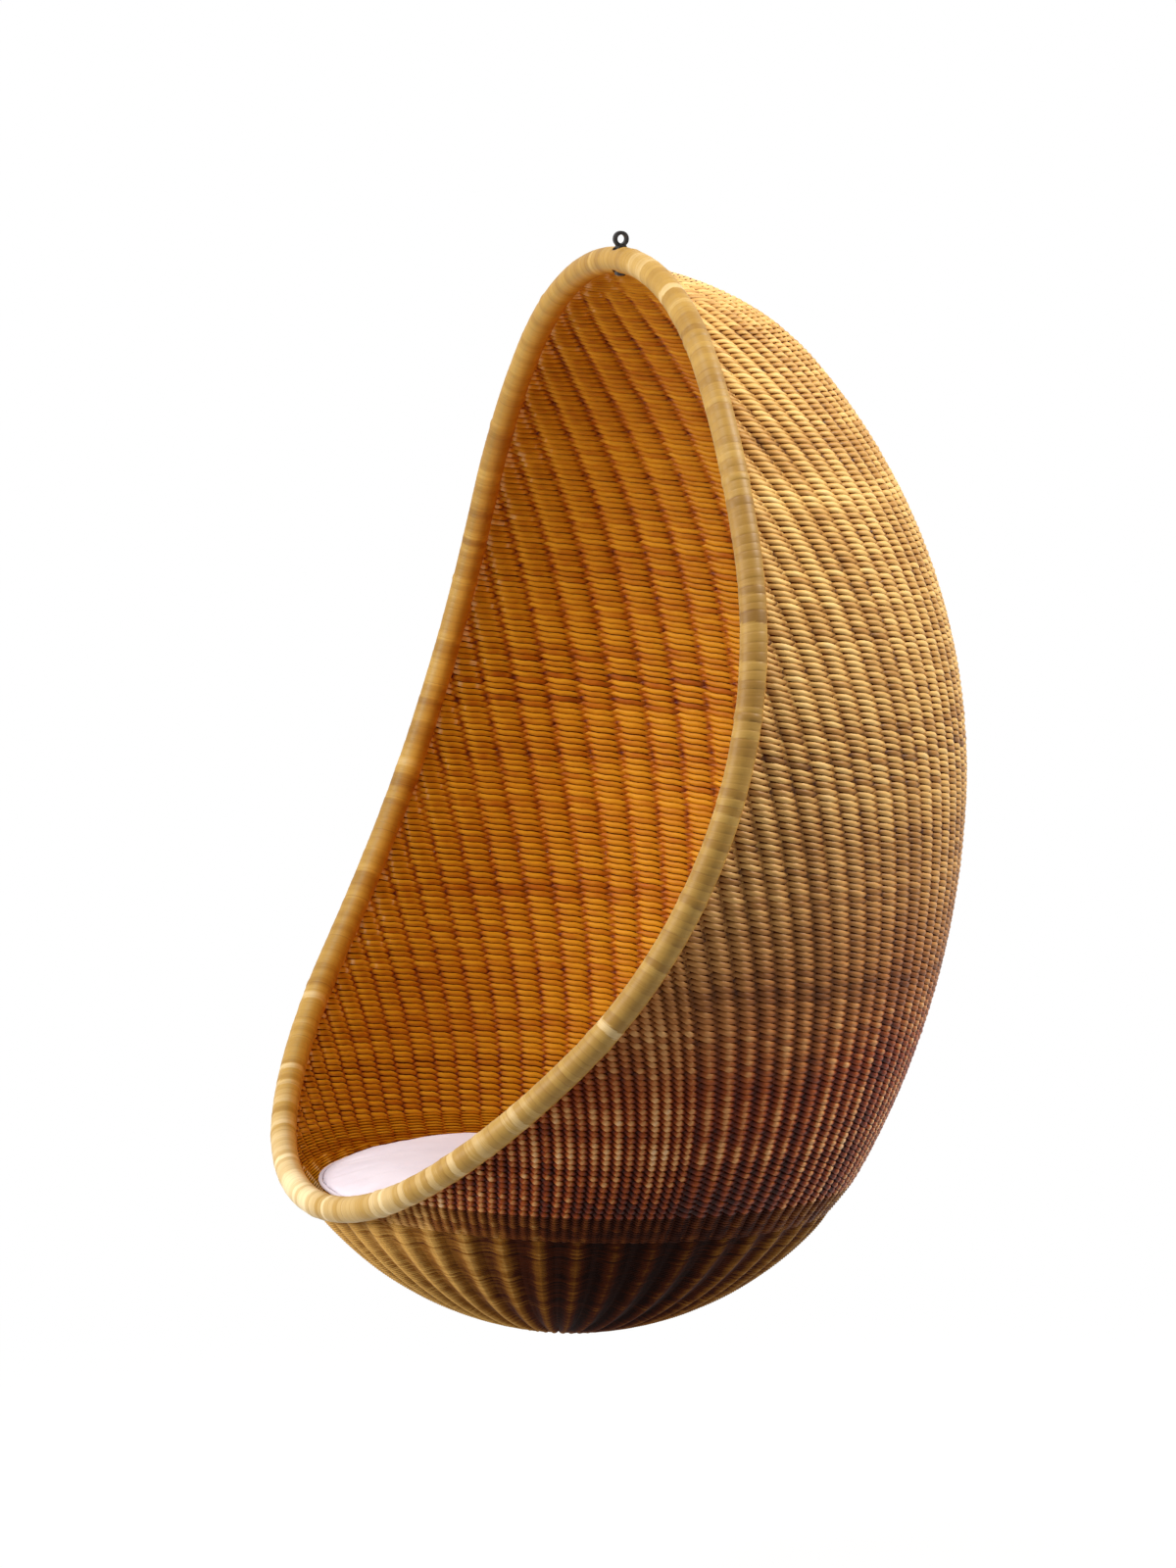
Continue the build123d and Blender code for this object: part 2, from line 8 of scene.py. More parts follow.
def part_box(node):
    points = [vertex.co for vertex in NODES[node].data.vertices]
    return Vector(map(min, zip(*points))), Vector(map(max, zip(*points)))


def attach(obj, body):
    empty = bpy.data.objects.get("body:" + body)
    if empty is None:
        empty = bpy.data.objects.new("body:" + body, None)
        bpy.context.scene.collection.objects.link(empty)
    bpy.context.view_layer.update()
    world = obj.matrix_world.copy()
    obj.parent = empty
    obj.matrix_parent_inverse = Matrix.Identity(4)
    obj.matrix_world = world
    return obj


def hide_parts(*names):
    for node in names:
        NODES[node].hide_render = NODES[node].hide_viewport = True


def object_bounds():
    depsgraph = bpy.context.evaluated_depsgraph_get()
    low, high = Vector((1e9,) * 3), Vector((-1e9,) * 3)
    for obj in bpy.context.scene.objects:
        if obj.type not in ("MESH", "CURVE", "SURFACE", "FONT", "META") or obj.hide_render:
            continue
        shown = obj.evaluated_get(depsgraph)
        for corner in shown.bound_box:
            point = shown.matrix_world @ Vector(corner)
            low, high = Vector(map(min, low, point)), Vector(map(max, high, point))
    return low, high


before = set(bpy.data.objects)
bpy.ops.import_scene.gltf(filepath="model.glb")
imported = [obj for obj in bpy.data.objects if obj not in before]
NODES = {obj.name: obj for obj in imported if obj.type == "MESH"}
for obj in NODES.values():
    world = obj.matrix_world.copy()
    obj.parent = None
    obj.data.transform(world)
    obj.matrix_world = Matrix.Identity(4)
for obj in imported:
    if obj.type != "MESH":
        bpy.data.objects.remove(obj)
CAD_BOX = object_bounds()
RANDOM = np.random.default_rng(11)
FULL_TURN = 2 * math.pi

# Lengths are in millimetres, upright along the egg's own axis, unless they are said to be in metres

# Egg: an oval of four arcs, turned
EGG_HEIGHT = 1231.0
WIDEST_RADIUS = 439.0
WIDEST_HEIGHT = 634.0
BASE_ARC_RADIUS = 383.0
CROWN_ARC_RADIUS = 339.0
EGG_LEAN = math.radians(3.53)
TABLE_STEPS = 7200

# Mouth, seen from the side
MOUTH_SETBACK = 21.0
MOUTH_BEND_HEIGHT = 931.0
MOUTH_BEND_RADIUS = 969.0
MOUTH_LIP_SLOPE = math.radians(35.0)

# Stages of the weave, by height
BAND_BOTTOM = 158.0
BAND_TOP = 190.0
LOWER_TOP = 400.0
MIDDLE_TOP = 640.0
UPPER_TOP = 930.0

# Stakes: flat splints that fan out by these powers of the way up from the band
STAKE_LINE = -5.9
STAKE_DEPTH = 1.8
STAKE_SHARE = 0.44
STAKE_SPACING = (8.0, 45.0)
STAKE_STEP_RIGHT = FULL_TURN / 106
STAKE_STEP_LEFT = FULL_TURN / 80
CROWDED_FROM = math.radians(92.0)
CROWDING = 0.65
FAN_POWERS = (-0.22, 2.4804, -4.3718, 2.9916)
STAKE_POINT_STEP = 9.0
STAKE_FOOT_TUCK = 2.0
STAKE_END_GAP = 3.0
STAKE_WANDER = 0.8
STAKE_PACE = 0.01
STAKE_SEED = 400
STAKE_TONE_SPREAD = 0.1
PAIRED_RADIUS = 150.0
SPARSE_RADIUS = 75.0
RIM_TUCK = 5.0

# Courses of the side: two weavers that twist round each other
COURSE_PITCH = 7.2
COURSE_END_GAP = 4.0
SHORTEST_HALF_COURSE = 12.0
POINTS_PER_STAKE = 7
WEAVER_DEPTH = 1.75
WEAVER_HEIGHT = 3.6
WEAVER_SPREAD = 0.04
WEAVER_SLACK = 0.2
SLACK_PACE = 0.012
TWIST_DEPTH = 2.5
TWIST_HEIGHT = 2.7
TWIST_LIFT = 2.4
WEAVE_SWING = 3.7
SWING_POWER_IN = 0.8
SWING_POWER_OUT = 1.35
SHARED_SAG = 0.6
SHARED_SAG_PACE = (0.004, 0.02)
SHARED_SAG_SEED = 5
OWN_SAG = 0.2
OWN_SAG_PACE = 0.02
OWN_SAG_SEED = 900
RIM_RISE = 3.2
RIM_RISE_REACH = 9.0
CALM_FROM = 60.0
CALM_RANGE = 140.0
CALM_LEAST = 0.3

# Waling band: finer courses, calmer and less dotted towards the base
BAND_COURSE_PITCH = 3.6
BAND_CALM = 0.45
BAND_DOTS = 0.3
BAND_DOTS_GAIN = 0.5
BAND_SEED = 2000

# Base weave over the thick sticks
BASE_LINE = -7.4
BASE_STICK_COUNT = 44
BASE_STEP = FULL_TURN / BASE_STICK_COUNT
BASE_STICK_RADIUS = 4.0
BASE_WEAVER_RADIUS = 1.35
BASE_WEAVER_FLATNESS = 1.19
BASE_FIRST_RADIUS = 2.2
BASE_COURSE_PITCH = 3.1
BASE_DISC_GAP = 3.0
BASE_BAND_LAP = 5.0
BASE_SPLIT = 0.58
BASE_POINTS_PER_STICK = 8
BASE_TWIST = 0.75
BASE_SLACK = 0.15
BASE_SLACK_PACE = 0.02
BASE_TONE = 0.5
BASE_BAND_REACH = 34.0
BASE_BAND_FLATTENING = 0.45
BASE_BAND_DARKENING = 0.04
BASE_RIDGE = 0.6
BASE_RIDGE_GAIN = 1.9
BASE_RIDGE_REACH = 120.0
BASE_SEED = 4000

# Base disc: courses closing in on the middle, over crossed sticks
BASE_DISC_RADIUS = 66.0
DISC_STICK_COUNT = 22
DISC_STICK_RADIUS = 2.1
DISC_STICK_POINTS = 31
DISC_CROSSING = 1.2
DISC_CROSSING_REACH = 25.0
DISC_CROSSING_STEP = 2.1
DISC_FIRST_COURSE = 5.0
DISC_EDGE_LAP = 2.0
DISC_COURSE_PITCH = 3.2
DISC_DOUBLE_FROM = 30.0
DISC_WEAVER_RADIUS = 1.45
DISC_SWING = 3.4
DISC_SWING_REACH = 40.0
DISC_SWING_LEAST = 0.3
DISC_OFFSET = 0.2
DISC_DISH = 0.8
DISC_POINTS_PER_STICK = 6
DISC_TONE = 0.45
DISC_SEED = 6000

# Shades of the weave, from 0, dark, to 1, pale
MIDDLE_TONE = 0.5
COURSE_TONE_SPREAD = 0.055
DARK_COURSE_SHARE = 0.03
DARK_COURSE_DROP = 0.1
COURSE_TONE_WANDER = 0.05
COURSE_TONE_PACE = 0.01
COURSE_TONE_SEED = 300
COLUMN_TONE_SPREAD = 0.04
COLUMN_COUNT = 400
DARK_COURSES = {690.0: 0.09, 540.0: 0.05, 836.0: 0.06, 300.0: 0.05}
# Painted shade where the weavers twist between the stakes and dive into the weave: outside, deeper
# on the lower part, and inside
TWIST_PAINTED_SHADE = 0.28
TWIST_PAINTED_SHADE_POWER = 1.5
INNER_PAINTED_SHADE = 0.5
INNER_PAINTED_SHADE_POWER = 5
LOW_FROM = 470.0
LOW_TO = 260.0
LOW_TWIST_PAINTED_SHADE = 0.3
LOW_TWIST_POWER = 0.6
# Painted highlight: pale dots on the crests of the low outside weave, over a slight paling of the
# whole low outside
LOW_PALE = 0.06
LOW_CREST_HIGHLIGHT = 0.24
LOW_CREST_HIGHLIGHT_POWER = 8
# Painted highlight: inside weavers pale at their bends beside the twists near the rim, and along
# the rim's edge
RIM_HIGHLIGHT = 0.42
RIM_HIGHLIGHT_REACH = 75.0
RIM_EDGE_HIGHLIGHT_REACH = 11.0
# Painted light and shade round the base and up the foot of the side: pale under the lip, dark at
# the sides, darkest on the right
FOOT_REACH = 70.0
BASE_LIP_LIGHT = 0.32
BASE_LIP_LIGHT_SPREAD = 0.85
BASE_RIGHT_SHADE = 0.5
BASE_LEFT_SHADE = 0.22
BASE_SIDE_SHADE_AT = 1.7
BASE_SIDE_SHADE_SPREAD = 0.55
BASE_LIGHT_FROM = 50.0
BASE_LIGHT_FADE = 60.0
# Painted highlight on the crests over the thick base sticks and painted shade in the valleys
# between them
CREST_HIGHLIGHT = 0.4
CREST_POWER = 5
VALLEY_SHADE = 0.1

# Rim: a bent pole wound with peel, and the pocket for its swivel
RIM_RADIUS = 15.2
RIM_INSET = 1.0
RIM_SEARCH_STEPS = 40000
RIM_STEPS = 4000
POLE_RADIUS = 13.2
POLE_STEPS = 320
WRAP_PITCH = 9.4
WRAP_SINK = 0.25
WRAP_SIDES = 28
WRAP_PHASES = np.array([0.0, 0.07, 0.22, 0.5, 0.78, 0.93])
WRAP_CROWN = np.array([-0.16, 0.03, 0.1, 0.12, 0.1, 0.03])
TURN_WIDTH_SPREAD = 0.16
TURN_WIDTHS = (0.6, 1.5)
TURN_LIFT_SPREAD = 0.12
TURN_EDGE_STEEPNESS = 6
STRIP_TURNS = (14, 34)
STRIP_START_LIFT = 0.6
STRIP_TONE = 0.49
STRIP_TONE_SPREAD = 0.045
TURN_TONE_SPREAD = 0.085
# Painted light: the peel paler round the lip and along the top
LIP_PAINTED_LIGHT = 0.4
LIP_PAINTED_LIGHT_REACH = 260.0
TOP_PAINTED_LIGHT = 0.08
TOP_PAINTED_LIGHT_REACH = 200.0
DARK_EDGE_SHARE = 0.2
FAINT_EDGE = 0.42
# Painted bounce light: the peel takes the interior's amber where it faces sideways and into the egg
BOUNCE_SIDEWAYS = 0.66
BOUNCE_INWARDS = 0.75
BOUNCE_POWER = 0.7
BUSH_RADIUS = 6.05
FLANGE_THICKNESS = 2.5
POCKET_FIT = 0.2
POCKET_SIDES = 48

# Cushion: a pad that lies in the bowl, with a welt at its top edge
WALL_DEPTH = 14.8
PAD_CLEARANCE = 4.5
PAD_UNDER_RADII = (60.0, 120.0, 170.0)
PAD_UNDER_SAG = 6.0
PAD_FLAT_RADIUS = 200.0
PAD_BED_RADIUS = 262.0
PAD_BED_STEPS = 5
PAD_EDGE_RADIUS = 281.0
PAD_SIDE_SHARES = (0.35, 0.7, 1.0)
PAD_SIDE_PULL = 3.0
PAD_CROWN = ((277, 7), (266, 14), (246, 20), (210, 25), (162, 28), (110, 29.5), (60, 30))
PAD_SIDES = 72
SEAM_HALF_WIDTH = 4.0
HELD_BELOW_SEAM = 20.0
WELT_HEIGHT = 164.0
WELT_RADIUS = 282.0
WELT_HALF_THICKNESS = 2.6
WELT_STEPS = 180

# Filling of the pad, in metres
PAD_VOXEL = 0.006
PAD_PRESSURE = 4.0
PAD_SLACK = 0.003
PAD_MOST_SWELL = 0.008
PAD_SWELL_STEPS = 20
PAD_CLOTH_QUALITY = 6


# Shape of the egg and its mouth


def side_arc_radius(end_radius, rise):
    """Radius of the arc from the widest place to an end arc, whose centre is this far from it."""
    return (WIDEST_RADIUS**2 + rise**2 - end_radius**2) / (2 * (WIDEST_RADIUS - end_radius))


CROWN_CENTRE = EGG_HEIGHT - CROWN_ARC_RADIUS
LOWER_SIDE_RADIUS = side_arc_radius(BASE_ARC_RADIUS, WIDEST_HEIGHT - BASE_ARC_RADIUS)
UPPER_SIDE_RADIUS = side_arc_radius(CROWN_ARC_RADIUS, CROWN_CENTRE - WIDEST_HEIGHT)
BASE_JOINT = math.atan2(LOWER_SIDE_RADIUS - WIDEST_RADIUS, WIDEST_HEIGHT - BASE_ARC_RADIUS)
CROWN_JOINT = math.atan2(UPPER_SIDE_RADIUS - WIDEST_RADIUS, WIDEST_HEIGHT - CROWN_CENTRE)


def oval(angle, offset):
    """Radius and height where the oval's normal has this angle, counted from straight down."""
    angle = np.asarray(angle, float)
    arcs = [angle <= BASE_JOINT, angle <= math.pi / 2, angle <= CROWN_JOINT]
    side_low = WIDEST_RADIUS - LOWER_SIDE_RADIUS
    side_high = WIDEST_RADIUS - UPPER_SIDE_RADIUS
    centre_r = np.select(arcs, [0.0, side_low, side_high], 0.0)
    centre_z = np.select(arcs, [BASE_ARC_RADIUS, WIDEST_HEIGHT, WIDEST_HEIGHT], CROWN_CENTRE)
    radii = [BASE_ARC_RADIUS, LOWER_SIDE_RADIUS, UPPER_SIDE_RADIUS]
    reach = np.select(arcs, radii, CROWN_ARC_RADIUS) + offset
    return centre_r + reach * np.sin(angle), centre_z - reach * np.cos(angle)


# The stakes' line up the wall, by its running length from the middle of the base
TABLE_ANGLE = np.linspace(0, math.pi, TABLE_STEPS + 1)
TABLE_R, TABLE_Z = oval(TABLE_ANGLE, STAKE_LINE)
TABLE_REACH = np.concatenate([[0.0], np.cumsum(np.hypot(np.diff(TABLE_R), np.diff(TABLE_Z)))])
LAST_REACH = TABLE_REACH[-1]


def section_at(reach):
    """Radius and height of the stakes' line at this length up the wall."""
    return np.interp(reach, TABLE_REACH, TABLE_R), np.interp(reach, TABLE_REACH, TABLE_Z)


def reach_at_height(height):
    """Length up the wall, from the middle of the base, at this height of the outside."""
    return float(np.interp(height, oval(TABLE_ANGLE, 0.0)[1], TABLE_REACH))


def mouth_side(height):
    """How far back the mouth lies at this height."""
    height = np.asarray(height, float)
    bend_drop = MOUTH_BEND_RADIUS * math.sin(MOUTH_LIP_SLOPE)
    drop = np.clip(MOUTH_BEND_HEIGHT - height, 0, bend_drop)
    bend = MOUTH_SETBACK - MOUTH_BEND_RADIUS + np.sqrt(MOUTH_BEND_RADIUS**2 - drop**2)
    below_bend = np.clip(MOUTH_BEND_HEIGHT - bend_drop - height, 0, None)
    return bend - below_bend * math.tan(MOUTH_LIP_SLOPE)


def mouth_limit(r, z):
    """Largest azimuth from the back at which a course still ends behind the mouth."""
    share = (mouth_side(z) + RIM_TUCK) / r
    return math.pi if share <= -1 else 0.0 if share >= 1 else math.acos(share)


# From the egg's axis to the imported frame, by the welt's place there
LEAN = np.array(Matrix.Rotation(-EGG_LEAN, 3, "X"))
welt_low, welt_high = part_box("cushion_welt")
WELT_CENTRE = np.array((welt_low + welt_high) / 2) * 1000
EGG_ORIGIN = WELT_CENTRE - LEAN @ np.array([0, 0, WELT_HEIGHT])


def to_frame(points):
    """Points on the egg's axis, in millimetres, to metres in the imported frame."""
    return (np.asarray(points) @ LEAN.T + EGG_ORIGIN) / 1000


# Meshes

pieces = {}


def keep(obj, body, slot, *replaced):
    """Rides a piece on its body and hides the nodes that it stands for; slot, its finish, is not
    used.
    """
    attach(obj, body)
    if replaced:
        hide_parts(*replaced)
    pieces[obj.name] = obj
    return obj


def linked(name, data):
    """Mesh, camera or lamp as an object in the scene."""
    obj = bpy.data.objects.new(name, data)
    bpy.context.scene.collection.objects.link(obj)
    return obj


def smooth_object(name, points, quads, uv, values):
    """Mesh object from arrays: points in metres, quads, one UV per loop, and values per point."""
    mesh = bpy.data.meshes.new(name)
    mesh.vertices.add(len(points))
    mesh.vertices.foreach_set("co", np.asarray(points, np.float32).ravel())
    mesh.loops.add(quads.size)
    mesh.loops.foreach_set("vertex_index", np.asarray(quads, np.int32).ravel())
    mesh.polygons.add(len(quads))
    loop_starts = np.arange(0, quads.size, quads.shape[1], dtype=np.int32)
    mesh.polygons.foreach_set("loop_start", loop_starts)
    mesh.polygons.foreach_set("use_smooth", np.full(len(quads), True))
    for key, value in values.items():
        attribute = mesh.attributes.new(key, "FLOAT", "POINT")
        attribute.data.foreach_set("value", np.asarray(value, np.float32))
    layer = mesh.uv_layers.new(name="strand")
    layer.data.foreach_set("uv", np.asarray(uv, np.float32).ravel())
    mesh.update(calc_edges=True)
    return linked(name, mesh)


def faced_object(name, points, faces):
    """Mesh object from lists of points, in metres, and of faces."""
    mesh = bpy.data.meshes.new(name)
    mesh.from_pydata([tuple(p) for p in points], [], faces)
    return linked(name, mesh)


def turned_quads(rings, sides):
    """Faces between the rings of a turned surface."""
    quads = []
    for ring in range(rings - 1):
        a, b = ring * sides, (ring + 1) * sides
        for k in range(sides):
            k2 = (k + 1) % sides
            quads.append([a + k, a + k2, b + k2, b + k])
    return quads


def round_angles(count):
    """Angles of points evenly spaced round a circle."""
    return FULL_TURN * np.arange(count) / count


def settle(obj):
    """Works an object's modifiers into its mesh."""
    graph = bpy.context.evaluated_depsgraph_get()
    mesh = bpy.data.meshes.new_from_object(obj.evaluated_get(graph))
    obj.modifiers.clear()
    obj.data = mesh


class Strands:
    """Strands of oval section, gathered into one mesh."""

    # Streaks start anywhere along this many metres, so that no two strands show the same ones
    STREAK_STARTS = 50

    def __init__(self, sides):
        self.sides = sides
        self.points = []
        self.quads = []
        self.uv = []
        self.tone = []
        self.inner = []
        self.count = 0

    def add(self, centre, normal, depth, tone, closed=False, width=None):
        """One strand along centre points; normal is the way out of the wall at each point.
        Depth is its half thickness that way, and width its half thickness along the wall."""
        n = len(centre)
        depth = np.broadcast_to(np.asarray(depth, float), (n,))[:, None, None]
        if width is None:
            width = depth
        else:
            width = np.broadcast_to(np.asarray(width, float), (n,))[:, None, None]
        if closed:
            along = np.roll(centre, -1, 0) - np.roll(centre, 1, 0)
        else:
            along = np.gradient(centre, axis=0)
        along /= np.linalg.norm(along, axis=1, keepdims=True)
        out = normal - (normal * along).sum(1, keepdims=True) * along
        out /= np.linalg.norm(out, axis=1, keepdims=True)
        side = np.cross(along, out)[:, None, :]
        out = out[:, None, :]
        turn = round_angles(self.sides)
        cosine = np.cos(turn)[None, :, None]
        sine = np.sin(turn)[None, :, None]
        ring = cosine * out + sine * side
        oval_ring = depth * cosine * out + width * sine * side
        self.points.append((centre[:, None, :] + oval_ring).reshape(-1, 3))
        facing = (ring * normal[:, None, :]).sum(2)
        self.inner.append((0.5 - 0.5 * facing).ravel())
        tone = np.broadcast_to(np.asarray(tone, float), (n,))
        self.tone.append(np.repeat(tone, self.sides))
        rows = n if closed else n - 1
        self.add_faces(n, rows)
        self.add_uv(centre, rows, closed)
        self.count += n * self.sides

    def add_faces(self, n, rows):
        """Faces of a strand of n rings, with this many rows of faces."""
        i = np.arange(rows)[:, None] * self.sides
        i2 = (np.arange(rows)[:, None] + 1) % n * self.sides
        j = np.arange(self.sides)[None, :]
        j2 = (j + 1) % self.sides
        quads = np.stack([i + j, i + j2, i2 + j2, i2 + j], -1)
        self.quads.append(quads.reshape(-1, 4) + self.count)

    def add_uv(self, centre, rows, closed):
        """Metres along the strand, and share of the way round it."""
        step = np.linalg.norm(np.diff(centre, axis=0), axis=1)
        length = np.concatenate([[0.0], np.cumsum(step)]) / 1000
        if closed:
            length = np.append(length, length[-1] + step[-1] / 1000)
        start = RANDOM.random() * self.STREAK_STARTS
        j = np.arange(self.sides)[None, :]
        shape = (rows, self.sides)
        ua = np.broadcast_to(start + length[:rows, None], shape)
        ub = np.broadcast_to(start + length[1 : rows + 1, None], shape)
        va = np.broadcast_to(j / self.sides, shape)
        vb = np.broadcast_to((j + 1) / self.sides, shape)
        self.uv.append(np.stack([ua, va, ua, vb, ub, vb, ub, va], -1).reshape(-1, 4, 2))

    def build(self, name):
        """The strands as one object, with their shade and which of their points face inwards."""
        return smooth_object(
            name,
            to_frame(np.concatenate(self.points)),
            np.concatenate(self.quads),
            np.concatenate(self.uv),
            {"tone": np.concatenate(self.tone), "inner": np.concatenate(self.inner)},
        )


# Weave


def wander(x, seed, scale):
    """Smooth random wave of about unit size: four sine waves, each faster and weaker."""
    r = np.random.default_rng(seed)
    total = 0
    for k in range(4):
        pace = 0.6 + 0.9 * k * r.random() + 0.4 * k
        phase = r.random() * 6.28
        total = total + np.sin(x * scale * pace + phase) / (1 + 0.5 * k)
    return total / 1.8


def on_wall(reach, azimuth, offset, lift=0.0):
    """Points and outward normals; reach runs up the wall, azimuth from the back, offset out."""
    reach = np.broadcast_to(np.asarray(reach, float) + lift, np.shape(azimuth))
    angle = np.interp(reach, TABLE_REACH, TABLE_ANGLE)
    r, z = section_at(reach)
    nr = np.sin(angle)
    nz = -np.cos(angle)
    normal = np.stack([nr * np.sin(azimuth), nr * np.cos(azimuth), nz], -1)
    point = np.stack([r * np.sin(azimuth), r * np.cos(azimuth), z], -1)
    return point + normal * np.broadcast_to(offset, np.shape(azimuth))[:, None], normal


def fan(height):
    """How much further apart than at the band the stakes stand round the egg at this height."""
    u = np.clip((height - BAND_TOP) / (EGG_HEIGHT - BAND_TOP), 0, 1)
    a, b, c, d = FAN_POWERS
    return np.exp(a * u + b * u**2 + c * u**3 + d * u**4)


def stakes_passed(azimuth):
    """Stakes between the back and this azimuth at the band, closer under the mouth's right."""
    a = np.asarray(azimuth, float)
    crowded = a + CROWDING * np.clip(a - CROWDED_FROM, 0, None)
    return np.where(a > 0, crowded / STAKE_STEP_RIGHT, a / STAKE_STEP_LEFT)


def azimuth_of(stake):
    """Azimuth at the band of a stake number, the other way round."""
    stake = np.asarray(stake, float)
    a = stake * np.where(stake > 0, STAKE_STEP_RIGHT, STAKE_STEP_LEFT)
    return np.where(a > CROWDED_FROM, (a + CROWDING * CROWDED_FROM) / (1 + CROWDING), a)


def row_tone(index, seed):
    """Shade of one weaver: most are near the middle, a few are darker."""
    r = np.random.default_rng(seed * 7919 + index)
    tone = MIDDLE_TONE + COURSE_TONE_SPREAD * r.standard_normal()
    if r.random() < DARK_COURSE_SHARE:
        tone -= DARK_COURSE_DROP
    return float(np.clip(tone, 0.02, 0.98))


COLUMN_TONE = COLUMN_TONE_SPREAD * np.random.default_rng(77).standard_normal(COLUMN_COUNT)


def bell(distance, spread):
    """One at no distance, falling smoothly to nought."""
    return np.exp(-((distance / spread) ** 2))


def base_painted_light(azimuth):
    """Painted light and shade round the base: palest under the lip, dark at the sides and darkest
    on the right.
    """
    a = np.abs(azimuth)
    side = np.where(np.asarray(azimuth) > 0, BASE_RIGHT_SHADE, BASE_LEFT_SHADE)
    lip = BASE_LIP_LIGHT * bell(a - math.pi, BASE_LIP_LIGHT_SPREAD)
    return lip - side * bell(a - BASE_SIDE_SHADE_AT, BASE_SIDE_SHADE_SPREAD)


def crest_painted_light(over):
    """Painted shade in the valleys between the thick base sticks, 0, to a painted highlight on the
    crests over them, 1.
    """
    return CREST_HIGHLIGHT * over**CREST_POWER - VALLEY_SHADE


def side_course(strands, index, reach, dark=0.0, band=None):
    """One course from rim to rim: two weavers that twist round each other between the stakes.
    Dark shades it on the inside; in the band, band is its share of the way up."""
    r, z = section_at(reach)
    limit = mouth_limit(r, z)
    if limit * r < SHORTEST_HALF_COURSE:
        return
    spread = fan(z)
    skip = 1 if r > PAIRED_RADIUS else 2 if r > SPARSE_RADIUS else 4
    calm = np.clip((r - CALM_FROM) / CALM_RANGE, CALM_LEAST, 1)
    fine = dots = 1.0
    if band is not None:
        fine = BAND_COURSE_PITCH / COURSE_PITCH
        calm = BAND_CALM + (1 - BAND_CALM) * band
        dots = BAND_DOTS + BAND_DOTS_GAIN * band
    low = np.clip((LOW_FROM - z) / (LOW_FROM - LOW_TO), 0, 1)
    first = float(stakes_passed(-limit / spread)) / skip
    last = float(stakes_passed(limit / spread)) / skip
    stake = np.linspace(first, last, max(9, int((last - first) * POINTS_PER_STAKE)))
    azimuth = azimuth_of(stake * skip) * spread
    arc = azimuth * r
    to_rim = (limit - np.abs(azimuth)) * r
    wave = np.sin(math.pi * stake)
    twist = np.cos(math.pi * stake)
    over = np.abs(wave)
    pace_round, pace_up = SHARED_SAG_PACE
    sag = SHARED_SAG * wander(arc * pace_round + reach * pace_up, SHARED_SAG_SEED, 1.0)
    sag = sag + OWN_SAG * wander(arc, index + OWN_SAG_SEED, OWN_SAG_PACE)
    sag = (sag + RIM_RISE * np.exp(-to_rim / RIM_RISE_REACH)) * fine
    thick = 1 + WEAVER_SPREAD * RANDOM.standard_normal()
    depth = (TWIST_DEPTH + (WEAVER_DEPTH - TWIST_DEPTH) * over) * thick
    height = (TWIST_HEIGHT + (WEAVER_HEIGHT - TWIST_HEIGHT) * over) * fine * thick

    column = COLUMN_TONE[(np.floor(stake).astype(int) * skip) % COLUMN_COUNT] * (1 + low)
    # Painted light and shade of the base, carried up the foot of the side; in the band, also the
    # base's painted crest highlights and valley shade
    foot = base_painted_light(azimuth) * np.clip((BAND_TOP + FOOT_REACH - z) / FOOT_REACH, 0, 1)
    if band is not None:
        foot = foot + crest_painted_light(np.abs(np.sin(math.pi * azimuth / BASE_STEP))) * (1 - band)
    # Painted shade at the twists, deeper low down
    shade_out = (TWIST_PAINTED_SHADE + LOW_TWIST_PAINTED_SHADE * low) * calm
    shade_out = shade_out * (1 - over) ** (TWIST_PAINTED_SHADE_POWER - LOW_TWIST_POWER * low)
    # Painted highlight on the crests low down
    pale = low * (LOW_PALE + LOW_CREST_HIGHLIGHT * over**LOW_CREST_HIGHLIGHT_POWER)
    shade_out = (shade_out - pale) * dots - column - foot
    # Painted highlight on the inside near the rim
    rim_highlight = (4 * over * (1 - over)) ** 2 * bell(to_rim, RIM_HIGHLIGHT_REACH)
    rim_highlight = rim_highlight + bell(to_rim, RIM_EDGE_HIGHLIGHT_REACH)
    shade_in = INNER_PAINTED_SHADE * calm * (1 - over) ** INNER_PAINTED_SHADE_POWER + dark - RIM_HIGHLIGHT * rim_highlight

    for side in (1, -1):
        out = side * wave
        inside = out < 0
        rise = np.where(inside, twist * np.abs(twist) ** 2, twist) * TWIST_LIFT * fine * calm
        slack = WEAVER_SLACK * wander(arc, 2 * index + side, SLACK_PACE)
        power = np.where(inside, SWING_POWER_IN, SWING_POWER_OUT)
        swing = np.sign(out) * over**power * WEAVE_SWING * calm
        centre, normal = on_wall(reach, azimuth, swing + slack, sag - side * rise)
        tone = row_tone(2 * index + side, 3)
        tone = tone + COURSE_TONE_WANDER * wander(arc, index + COURSE_TONE_SEED, COURSE_TONE_PACE)
        tone = tone - np.where(inside, shade_in, shade_out)
        strands.add(centre, normal, depth, np.clip(tone, 0, 1), width=height)


